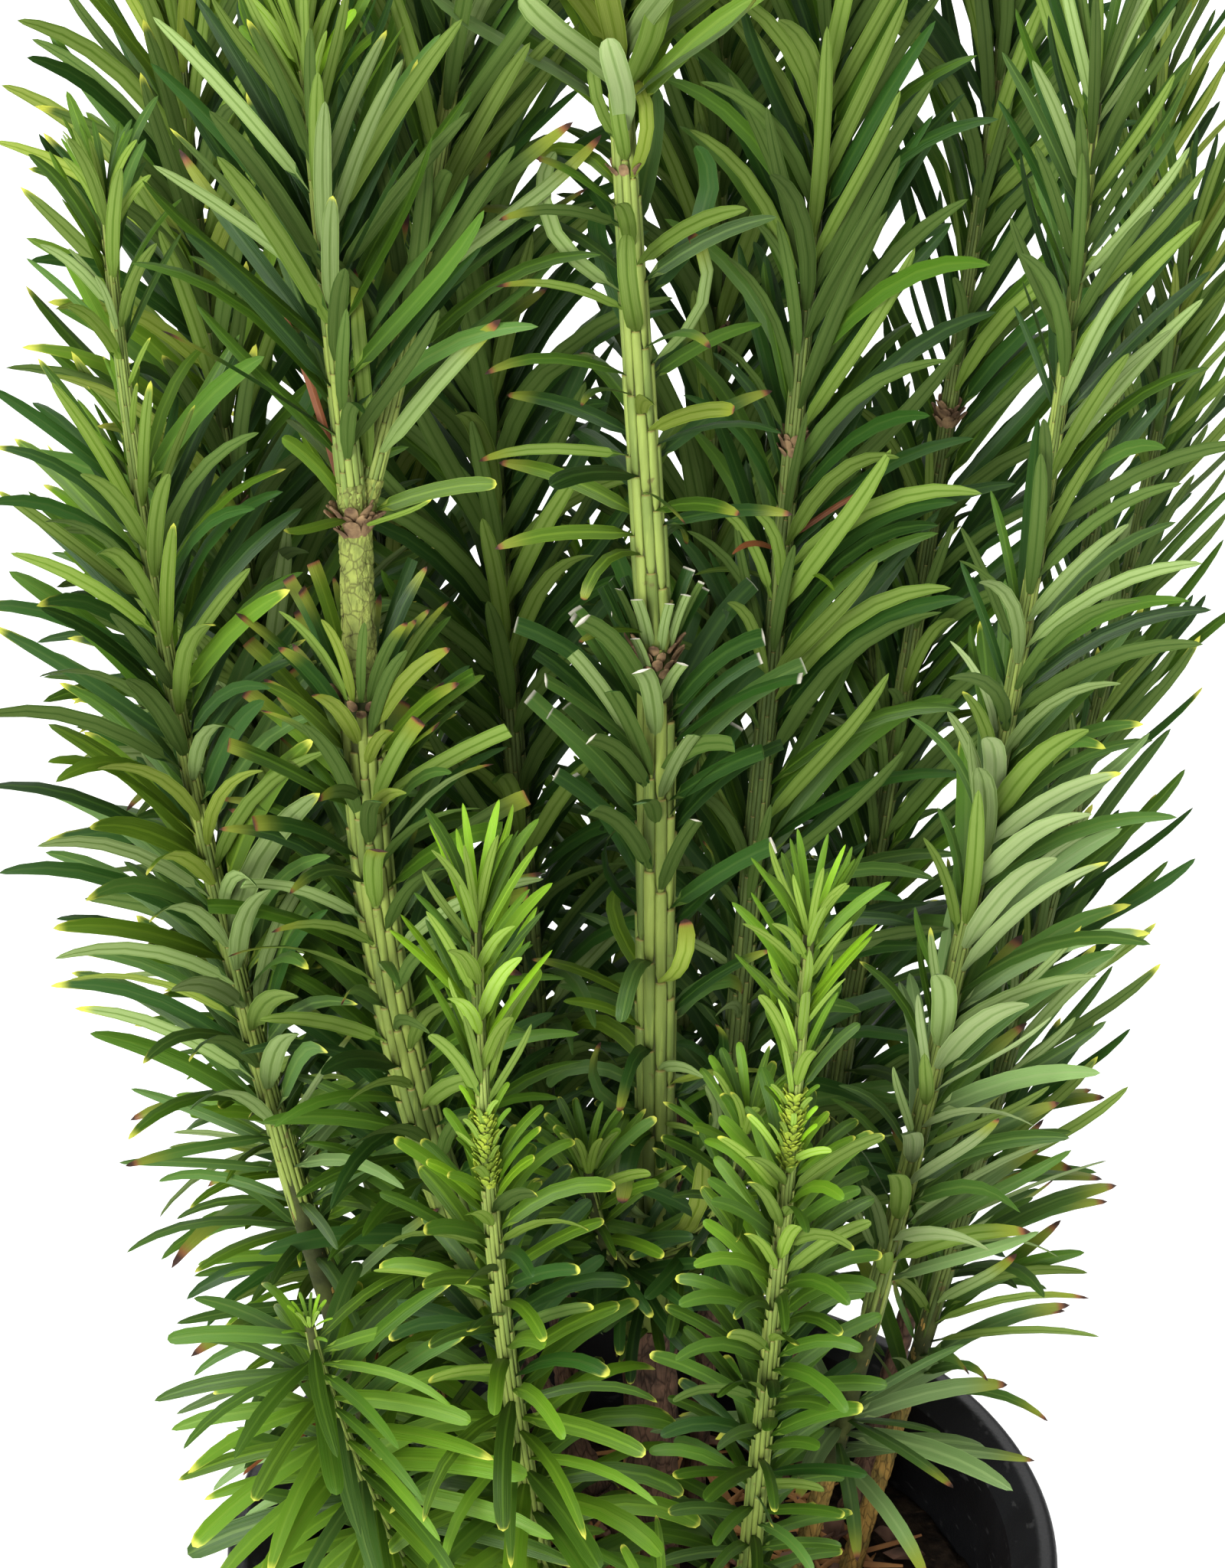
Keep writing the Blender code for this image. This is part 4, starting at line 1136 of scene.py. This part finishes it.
class Points:
    """Points that shapes will stand on, with the way each faces and its size."""

    def __init__(self):
        self.rows = []

    def add(self, place, heading, upper, size, tone, shape=0, tip=0):
        self.rows.append((place, heading, upper, size, tone, shape, tip))

    def mesh(self, name):
        made = bpy.data.meshes.new(name)
        made.from_pydata([row[0] for row in self.rows], [], [])
        labels = {"tone": "FLOAT", "shape": "INT", "tip": "FLOAT"}
        for column, label in enumerate(("heading", "upper", "size", "tone", "shape", "tip"), 1):
            kind = labels.get(label, "FLOAT_VECTOR")
            values = np.array([row[column] for row in self.rows])
            field = "vector" if kind == "FLOAT_VECTOR" else "value"
            made.attributes.new(label, kind, "POINT").data.foreach_set(field, values.ravel())
        return made


def line_mesh(name, lines):
    """The lines as edges, with a thickness at each point."""
    points, edges, thick = [], [], []
    for line in lines:
        for i, (point, radius) in enumerate(line):
            if i:
                edges.append((len(points) - 1, len(points)))
            points.append(point)
            thick.append(radius)
    made = bpy.data.meshes.new(name)
    made.from_pydata(points, edges, [])
    made.attributes.new("thick", "FLOAT", "POINT").data.foreach_set("value", thick)
    return made


def flared(spine, foot=True, scale=1.0):
    """A spine as (point, radius) rows, wider where it stands on the mix."""
    rows = []
    steps = max(LEAST_RINGS, int(spine.length / RING_STEP))
    for i in range(steps + 1):
        distance = spine.length * i / steps
        place, _, radius = spine.at(distance)
        if foot:
            radius *= 1 + FLARE * math.exp(-distance / FLARE_HEIGHT)
        rows.append((place, radius * scale))
    return rows


BLADES = {
    (name, roll): shape._replace(roll=roll, sweep=shape.sweep if roll > 0 else -shape.sweep)
    for name, shape in NEEDLE_SHAPES.items() for roll in ROLLS
}
BLADE_KEYS = tuple(BLADES)
BLADE_PATHS = {key: [needle_line(shape, share)[0] for share in CHECKED] for key, shape in BLADES.items()}
UNROLLED = {name: needle_line(shape, 0.5) for name, shape in NEEDLE_SHAPES.items()}


def roll_for(shape, axes, top_shown, chance):
    """The roll that turns a blade's upper side, or else its underside, more or less to the front."""
    _, ahead, _, flat = UNROLLED[shape]
    ahead, flat = axes @ ahead, axes @ flat
    turn = math.degrees(math.atan2(ahead.dot(flat.cross(FRONT)), flat.dot(FRONT)))
    other_way = turn - math.copysign(180, turn)
    if abs(turn) > ROLLS[-1] or not top_shown and abs(other_way) < ROLLS[-1]:
        turn = other_way
    turn *= chance.uniform(*ROLL_SHARE)
    return min(ROLLS, key=lambda roll: abs(roll - turn))


def around(along, turn):
    """A direction square to this one, turned about it."""
    level = along.orthogonal().normalized()
    return level * math.cos(turn) + along.cross(level) * math.sin(turn)


def thinned(label, share, place, out):
    """Whether a needle grows on the side where its shoot's needles have thinned out."""
    low, high, _ = THIN_INSIDE.get(label, (1.0, 1.0, 1.0))
    inwards = -(out.x * place.x + out.y * place.y) / math.hypot(place.x, place.y)
    return low < share < high and inwards > INNER_FROM


class Foliage:
    """The points on which needles and leaf bases will stand, for all shoots."""

    def __init__(self, plant):
        self.plant = plant
        self.needles = {side: {tint: Points() for tint in TINTS} for side in SIDES}
        self.bases = {kind: Points() for kind in BASES}

    def leaf_base(self, shoot, stem, label, share, out, spiral, tone):
        """The strip below a needle's foot, one round of the spiral long."""
        if share < WOODY_TO.get(label, 0.0):
            return
        low_bright, high_bright = BRIGHT.get(label, (0.0, 0.0))
        # painted shade: leaf bases of the back, shaded and far right shoots take the darker dull finish
        dull = shoot.coats in (OLD_WOOD, SHADED_WOOD, FAR_RIGHT)
        kind = "bright" if low_bright < share < high_bright else "dull" if dull else "plain"
        at = share * stem.length
        place, _, radius = stem.at(at)
        strip = min(spiral.rows * spiral.pitch * BASE_OVERLAP, at + BASE_PAST_FOOT)
        low, _, low_radius = stem.at(at - strip)
        top = place + out * radius * CORE
        down = low + out * low_radius * CORE - top
        across = math.tau * radius * CORE / spiral.rows * RIB_SPREAD
        size = (across, down.length, across * RIB_PROUD)
        self.bases[kind].add(top, down.normalized(), out, size, tone)

    def needle(self, shoot, coat, foot, angle, length, chance, crowded):
        """One needle, its shape, tint and tip by its coat. It is shortened or raised till it has room."""
        place, along, out, radius = foot
        shape = chance.choice(coat.shapes.split())
        tip = TIP_KINDS.index(chance.choice(coat.ends.split()))
        tint = chance.choice(coat.tints.split())
        wide = coat.wide * chance.uniform(*WIDTH_VARIES)
        twist = chance.uniform(-TWIST_VARIES, TWIST_VARIES)
        tone = chance.random()
        top_shown = chance.random() < TOPS_SHOWN.get(shoot.name, MOSTLY_TOPS)
        root = place + out * radius * ROOT_DEPTH
        for shorter, upward in TRIES:
            long, lean = length * shorter, math.radians(max(angle - upward, LEAST_ANGLE))
            if long < NEEDLE_LEAST * min(coat.long, 1.0):
                return
            heading = along * math.cos(lean) + out * math.sin(lean)
            upper = Matrix.Rotation(twist, 3, heading) @ (along * math.sin(lean) - out * math.cos(lean))
            across = heading.cross(upper)
            axes = Matrix((across, heading, upper)).transposed()
            blade = (shape, roll_for(shape, axes, top_shown, chance))
            places = BLADE_PATHS[blade]
            path = [root + (across * p.x * wide + heading * p.y + upper * p.z) * long for p in places]
            if all(self.plant.holds(shoot.name, point, crowded) for point in path):
                size = (long * wide, long, long)
                points = self.needles[side_of(shoot)][tint]
                points.add(root, heading, upper, size, tone, BLADE_KEYS.index(blade), tip)
                return

    def grow(self, shoot, stem, label, longest, spiral=COMMON_SPIRAL, tuft=False):
        """Needles and leaf bases of one stem, or of one tuft, which has no leaf bases and no closed top."""
        chance = random.Random(label)
        start = chance.uniform(0.0, math.tau)
        count = int(stem.length / spiral.pitch)
        foot_angle, tip_angle = shoot.spread
        for i in range(count if tuft else count + TOP_TUFT):
            in_top = i >= count
            share = min((i + 0.5) / count, 1.0)
            place, along, radius = stem.at(share * stem.length)
            out = around(along, start + i * spiral.turn)
            coat = next(coat for coat in shoot.coats if share <= coat.upto)
            if not in_top and not tuft:
                self.leaf_base(shoot, stem, label, share, out, spiral, chance.random())
            inner = thinned(label, share, place, out)
            keep_share = coat.keep * (THIN_INSIDE[label][2] if inner else 1.0)
            if not in_top and chance.random() > keep_share:
                continue
            angle = foot_angle + (tip_angle - foot_angle) * share + coat.lean
            angle += chance.uniform(-ANGLE_VARIES, ANGLE_VARIES) + (INNER_LEAN if inner else 0)
            if in_top:
                angle = LEAST_ANGLE + chance.uniform(0, TOP_VARIES)
            shorter = 1 - SHORTER_AT_TIP * share ** 3 if not tuft else 1.0
            length = longest * shorter * coat.long * chance.uniform(*LENGTH_VARIES)
            length *= INNER_LENGTH if inner else 1.0
            foot = place, along, out, radius
            self.needle(shoot, coat, foot, angle, length, chance, tuft)

    def grow_tuft(self, tuft, number):
        shoot = next(row for row in SHOOTS if row.name == tuft.shoot)
        coat = Coat(1.0, tuft.tints, tuft.ends, tuft.shapes, 1.0, tuft.wide, tuft.keep, 0)
        shoot = shoot._replace(coats=(coat,), spread=tuft.spread)
        line = self.plant.whole[tuft.shoot]
        stretch = line.part(tuft.start * line.length, tuft.end * line.length)
        spiral = COMMON_SPIRAL._replace(pitch=tuft.pitch)
        self.grow(shoot, stretch, f"{tuft.shoot}_tuft_{number}", tuft.needle, spiral, tuft=True)


def side_of(shoot):
    return "back" if shoot.name.startswith("back") else "front"


def grow_scales(plant, points):
    """Rings of small overlapping scales round the stems."""
    chance = random.Random("scales")
    for name, share, rows, length, finish in RINGS:
        stem = plant.masses[name]
        for row in range(rows):
            place, along, radius = stem.at(share * stem.length + (row - rows / 2) * length * ROW_SPACING)
            for i in range(SCALES_IN_ROW):
                turn = i + 0.5 * (row % 2) + chance.uniform(-0.2, 0.2)
                out = around(along, math.tau * turn / SCALES_IN_ROW)
                lean = math.radians(chance.uniform(*SCALE_LEANS))
                heading = along * math.cos(lean) + out * math.sin(lean)
                upper = out * math.cos(lean) - along * math.sin(lean)
                size = length * chance.uniform(*SCALE_SIZES)
                root = place + out * radius * SCALE_DEPTH
                points[finish].add(root, heading, upper, (size,) * 3, chance.random())


# The pot and the mix

def rounded(centre, radius, start, end, steps=5):
    """Points on an arc in (radius, height), from one angle in degrees to another."""
    angles = [math.radians(start + (end - start) * i / steps) for i in range(steps + 1)]
    return [(centre[0] + radius * math.cos(a), centre[1] + radius * math.sin(a)) for a in angles]


def pot_profile():
    """The pot's outline in (radius, height), from the middle of its floor over the lip to its underside."""
    slope_width, slope_drop = LIP_SLOPE
    under_lip = POT_HEIGHT - LIP_HEIGHT
    lip_inner = RIM_RADIUS - LIP_TOP
    step_drop, step_depth, step_slope = STEP
    step = under_lip - step_drop
    ring, recess, recess_height = UNDERSIDE
    return [
        (0.0, FLOOR),
        (wall_radius(FLOOR) - FLOOR_BEND, FLOOR),
        (wall_radius(FLOOR), FLOOR + FLOOR_BEND),
        (wall_radius(SOIL_TOP), SOIL_TOP),
        (lip_inner - slope_width, POT_HEIGHT - slope_drop),
        *rounded((lip_inner + LIP_EDGE, POT_HEIGHT - LIP_EDGE), LIP_EDGE, 145, 90),
        *rounded((RIM_RADIUS - LIP_EDGE, POT_HEIGHT - LIP_EDGE), LIP_EDGE, 90, 0),
        (RIM_RADIUS - LIP_EDGE / 4, under_lip + LIP_CURL),
        (RIM_RADIUS - LIP_EDGE / 2, under_lip),
        (wall_radius(under_lip) + WALL, under_lip - WALL / 2),
        (wall_radius(step) + WALL, step),
        (wall_radius(step) + WALL - step_depth, step - step_slope),
        *((wall_radius(height) + WALL + proud, height) for height, proud in FOOT_BAND),
        *rounded((BASE_RADIUS - BASE_EDGE, BASE_EDGE), BASE_EDGE, 0, -90),
        (BASE_RADIUS - ring, 0.0),
        (BASE_RADIUS - recess, recess_height),
        (0.0, recess_height),
    ]


def make_pot():
    """The nursery pot: rolled lip, a moulded step under it, tapering wall and drain holes round the foot."""
    form = bmesh.new()
    line = [form.verts.new((radius, 0.0, height)) for radius, height in pot_profile()]
    edges = [form.edges.new(pair) for pair in zip(line, line[1:])]
    bmesh.ops.spin(form, geom=line + edges, axis=(0, 0, 1), cent=(0, 0, 0), angle=math.tau, steps=POT_SIDES)
    bmesh.ops.remove_doubles(form, verts=form.verts, dist=WELD)
    bmesh.ops.recalc_face_normals(form, faces=form.faces)
    mesh = mesh_of(form, "pot_shell")
    mesh.materials.append(plastic_finish("black_plastic"))
    mesh.shade_smooth()
    mesh.set_sharp_from_angle(angle=math.radians(POT_CREASE))
    pot = placed("pot_shell", mesh)
    cutters = bpy.data.collections.new("drain_holes")
    for i in range(DRAIN_HOLES):
        form = bmesh.new()
        bmesh.ops.create_cube(form, size=1.0)
        turn = Matrix.Rotation(math.tau * (i + 0.5) / DRAIN_HOLES, 4, "Z")
        place = turn @ Matrix.Translation((wall_radius(0.0), 0.0, DRAIN_CENTRE))
        bmesh.ops.transform(form, matrix=place @ Matrix.Diagonal((*DRAIN_SIZE, 1.0)), verts=form.verts)
        cutters.objects.link(bpy.data.objects.new(f"drain_hole_{i}", mesh_of(form, "drain_hole")))
    cut = pot.modifiers.new("drain", "BOOLEAN")
    cut.operation = "DIFFERENCE"
    cut.operand_type = "COLLECTION"
    cut.collection = cutters
    cut.solver = "EXACT"
    keep(settled(pot), "black_plastic", "pot")


def mix_height(x, y, sag, crumb):
    """The height of the mix's surface: hollows and crumbs on a level that sags towards the wall."""
    along_x, along_y, aslant = MIX_WAVES
    hollows = math.sin(x * along_x + 1.3) * math.cos(y * along_y - 0.7) + math.sin((x + y) * aslant) * 0.6
    return SOIL_TOP - sag + (hollows * 0.16 + crumb) * MIX_ROUGH * 0.5


def make_mix():
    """The potting mix: a rough surface over a closed plug."""
    edge = wall_radius(SOIL_TOP) - SEAM
    foot_radius = wall_radius(FLOOR) - SEAM
    chance = random.Random(5)
    turns = [math.tau * j / MIX_SIDES for j in range(MIX_SIDES)]
    sides = [(math.cos(turn), math.sin(turn)) for turn in turns]
    form = bmesh.new()
    centre = form.verts.new((0.0, 0.0, SOIL_TOP))
    rings = []
    for i in range(1, MIX_RINGS + 1):
        sag = MIX_ROUGH * 0.7 * (i / MIX_RINGS) ** 4
        radius = edge * i / MIX_RINGS
        ring = []
        for across, ahead in sides:
            x, y = radius * across, radius * ahead
            ring.append(form.verts.new((x, y, mix_height(x, y, sag, chance.uniform(-0.5, 0.35)))))
        rings.append(ring)
    rings.append([form.verts.new((foot_radius * x, foot_radius * y, FLOOR + SEAM)) for x, y in sides])
    for j in range(MIX_SIDES):
        k = (j + 1) % MIX_SIDES
        form.faces.new((centre, rings[0][j], rings[0][k]))
        for inner, outer in zip(rings, rings[1:]):
            form.faces.new((inner[j], outer[j], outer[k], inner[k]))
    form.faces.new(reversed(rings[-1]))
    mesh = mesh_of(form, "potting_mix_surface")
    mesh.materials.append(mix_finish("potting_mix"))
    mesh.shade_smooth()
    keep(placed("potting_mix_surface", mesh), "potting_mix", "potting_mix")


def make_litter():
    """Bark flakes and fallen needles on the mix."""
    flakes = shelf("flake", [chip_mesh(f"flake_{i}", i) for i in range(FLAKE_KINDS)])
    fallen = needle_mesh("fallen", FALLEN_SHAPE)
    fallen.transform(Matrix.Translation((0.0, -0.5, 0.0)))
    bark = litter_finish("flake_bark", (0.28, 0.150, 0.100), (0.024, 0.014, 0.009), 0.014)
    dry = litter_finish("dry_needle", (0.52, 0.26, 0.090), (0.20, 0.085, 0.032), 0.02)
    litter_on_mix("bark_flakes", flakes, bark, FLAKE_REACH, FLAKES)
    litter_on_mix("fallen_needles", shelf("fallen", [fallen]), dry, FALLEN_REACH, FALLEN)


# The plant

def make_wood(plant):
    """Trunk, limbs and the cracked piece of the left stem, with the bark's relief."""
    brown, orange, cracked = [bark_finish(*row) for row in BARKS]
    young = ribbed_green("young_stem_skin", (0.20, 0.27, 0.060), (0.10, 0.15, 0.030))
    trunk = [flared(Spine(list(TRUNK), TRUNK_RADII))]
    own_bark, trunk_bark = TRUNK_LIMB
    trunk += [flared(plant.whole[name].part(0.0, trunk_bark), foot=False) for name in ON_TRUNK]
    stems("trunk_bark", trunk, TRUNK_RELIEF, brown, "bark", "trunk")
    groups = {
        "limb_bark": ([], [], brown, "bark"),
        "orange_limb_bark": ([], [], orange, "bark"),
        "young_limb_skin": ([], [], young, "green_bark"),
    }
    for shoot in SHOOTS:
        if not shoot.bare:
            continue
        warm = "orange_limb_bark" if shoot.name in WOODY_TO else "limb_bark"
        lines, nodes, *_ = groups["young_limb_skin" if shoot.name in GREEN_STEMMED else warm]
        line = plant.whole[shoot.name]
        start = own_bark if shoot.parent == "trunk" else 0.0
        woody = WOODY_TO.get(shoot.name, 0.0) * plant.masses[shoot.name].length
        stretch = line.part(start, shoot.bare * line.length + max(WOODY_TOP, woody))
        lines.append(flared(stretch, foot=shoot.parent == "soil", scale=LIMB_SLIM))
        nodes.append(f"{shoot.name}_stem")
    for label, (lines, nodes, finish, slot) in groups.items():
        stems(label, lines, LIMB_RELIEF, finish, slot, *nodes)
    fork = [flared(Spine(list(FORK), FORK_RADII), foot=False, scale=FORK_SLIM)]
    fork += [flared(plant.whole[name].part(0.0, FORK_LIMB), foot=False) for name in ON_FORK]
    stems("fork_bark", fork, FORK_RELIEF, cracked, "green_bark", "left_fork")


def make_foliage(plant):
    """Shoots, leaf bases, bud scales and needles, each kind joined."""
    foliage = Foliage(plant)
    masses = {side: [shoot.name for shoot in SHOOTS if side_of(shoot) == side] for side in SIDES}
    lines = []
    for shoot in SHOOTS:
        mass = plant.masses[shoot.name]
        foliage.grow(shoot, mass, shoot.name, shoot.needle, SPIRALS.get(shoot.name, COMMON_SPIRAL))
        lines.append(flared(mass, foot=False, scale=CORE))
        clad = shoot._replace(coats=LOW_TWIG) if shoot.name == "leader_lower" else shoot
        for i, twig in enumerate(plant.twigs[shoot.name]):
            foliage.grow(clad, twig, f"{shoot.name}_twig_{i}", shoot.needle * TWIG_NEEDLE)
            lines.append(flared(twig, foot=False, scale=CORE))
    for number, tuft in enumerate(TUFTS):
        foliage.grow_tuft(tuft, number)
    groove = litter_finish("shoot_grooves", (0.060, 0.072, 0.018), (0.026, 0.032, 0.010), 0.006)
    stems("shoot_stems", lines, SHOOT_RELIEF, groove, "needles", *masses["front"], *masses["back"])

    strip = shelf("leaf_base_shape", [leaf_base_mesh("leaf_base")])
    scale = shelf("scale_shape", [needle_mesh("scale", SCALE_SHAPE)])
    scales = {kind: Points() for kind in SCALES}
    grow_scales(plant, scales)
    for kind, points in foliage.bases.items():
        finish = ribbed_green(*BASES[kind])
        keep(small_pieces(f"{kind}_leaf_bases", points, strip, finish, finish), "green_bark")
    for kind, points in scales.items():
        finish = litter_finish(*SCALES[kind], 0.003)
        keep(small_pieces(f"{kind}_bud_scales", points, scale, finish, finish), "green_bark")

    shapes = shelf("needle_shape", [needle_mesh(name, shape) for (name, _), shape in BLADES.items()])
    for tint, colours in TINTS.items():
        top = upper_side(f"{tint}_needle_top", colours)
        under = under_side(f"{tint}_needle_back", colours)
        for side in SIDES:
            points = foliage.needles[side][tint]
            if points.rows:
                made = small_pieces(f"{side}_{tint}_needles", points, shapes, top, under)
                keep(made, "young_needles" if tint in ("lime", "fresh") else "needles", *masses[side])


# The studio

CAMERA_PLACE = Vector((-0.0074, -0.495, 0.5863))
CAMERA_PITCH = math.radians(27.0)
CAMERA_ROLL = math.radians(0.5)
CAMERA_LENS = 71.35
SENSOR = 36.0  # mm
CLIP = (0.01, 60.0)
PLANT_MIDDLE = Vector((0.0, 0.0, 0.32))
BEHIND = Vector((0.0, 3.4, 0.0))
# Each area light's place, size and watts, and where it points
LIGHTS = {
    "overhead": ((0.0, -0.5, 2.6), 1.8, 40.0, PLANT_MIDDLE),
    "front": ((-1.0, -2.0, 0.92), 1.3, 95.0, PLANT_MIDDLE),
    "front_right": ((1.6, -1.3, 1.0), 1.0, 13.0, PLANT_MIDDLE),
    "backdrop": ((0.0, 3.4, 2.6), 3.0, 160.0, BEHIND),
}
SKY = 0.13
FLOOR_HALF = 12.0
FLOOR_GLOW = 0.26


def make_studio():
    """A camera where the photographer stood, a pale floor, and soft light from above and in front."""
    ahead = Vector((0.0, math.cos(CAMERA_PITCH), -math.sin(CAMERA_PITCH)))
    level = Vector((1.0, 0.0, 0.0))
    right = level * math.cos(CAMERA_ROLL) + level.cross(ahead) * math.sin(CAMERA_ROLL)
    camera = placed("camera", bpy.data.cameras.new("camera"))
    camera.data.lens = CAMERA_LENS
    camera.data.sensor_width = SENSOR
    camera.data.clip_start, camera.data.clip_end = CLIP
    turned = Matrix((right, right.cross(ahead), -ahead)).transposed().to_4x4()
    camera.matrix_world = Matrix.Translation(CAMERA_PLACE) @ turned
    bpy.context.scene.camera = camera

    form = bmesh.new()
    bmesh.ops.create_grid(form, x_segments=1, y_segments=1, size=FLOOR_HALF)
    floor = placed("floor", mesh_of(form, "floor"))
    floor.data.materials.append(floor_finish("pale_floor"))

    world = bpy.data.worlds.new("studio")
    world.use_nodes = True
    background = world.node_tree.nodes["Background"].inputs
    background["Color"].default_value = (1.0, 1.0, 1.0, 1.0)
    background["Strength"].default_value = SKY
    bpy.context.scene.world = world
    for name, (place, size, watts, target) in LIGHTS.items():
        lamp = placed(name, bpy.data.lights.new(name, "AREA"))
        lamp.data.size = size
        lamp.data.energy = watts
        lamp.location = place
        lamp.rotation_euler = (target - Vector(place)).to_track_quat("-Z", "Y").to_euler()
    bpy.context.scene.view_settings.view_transform = "Standard"


def main():
    make_studio()
    make_pot()
    make_mix()
    make_litter()
    plant = Plant()
    make_wood(plant)
    make_foliage(plant)


main()
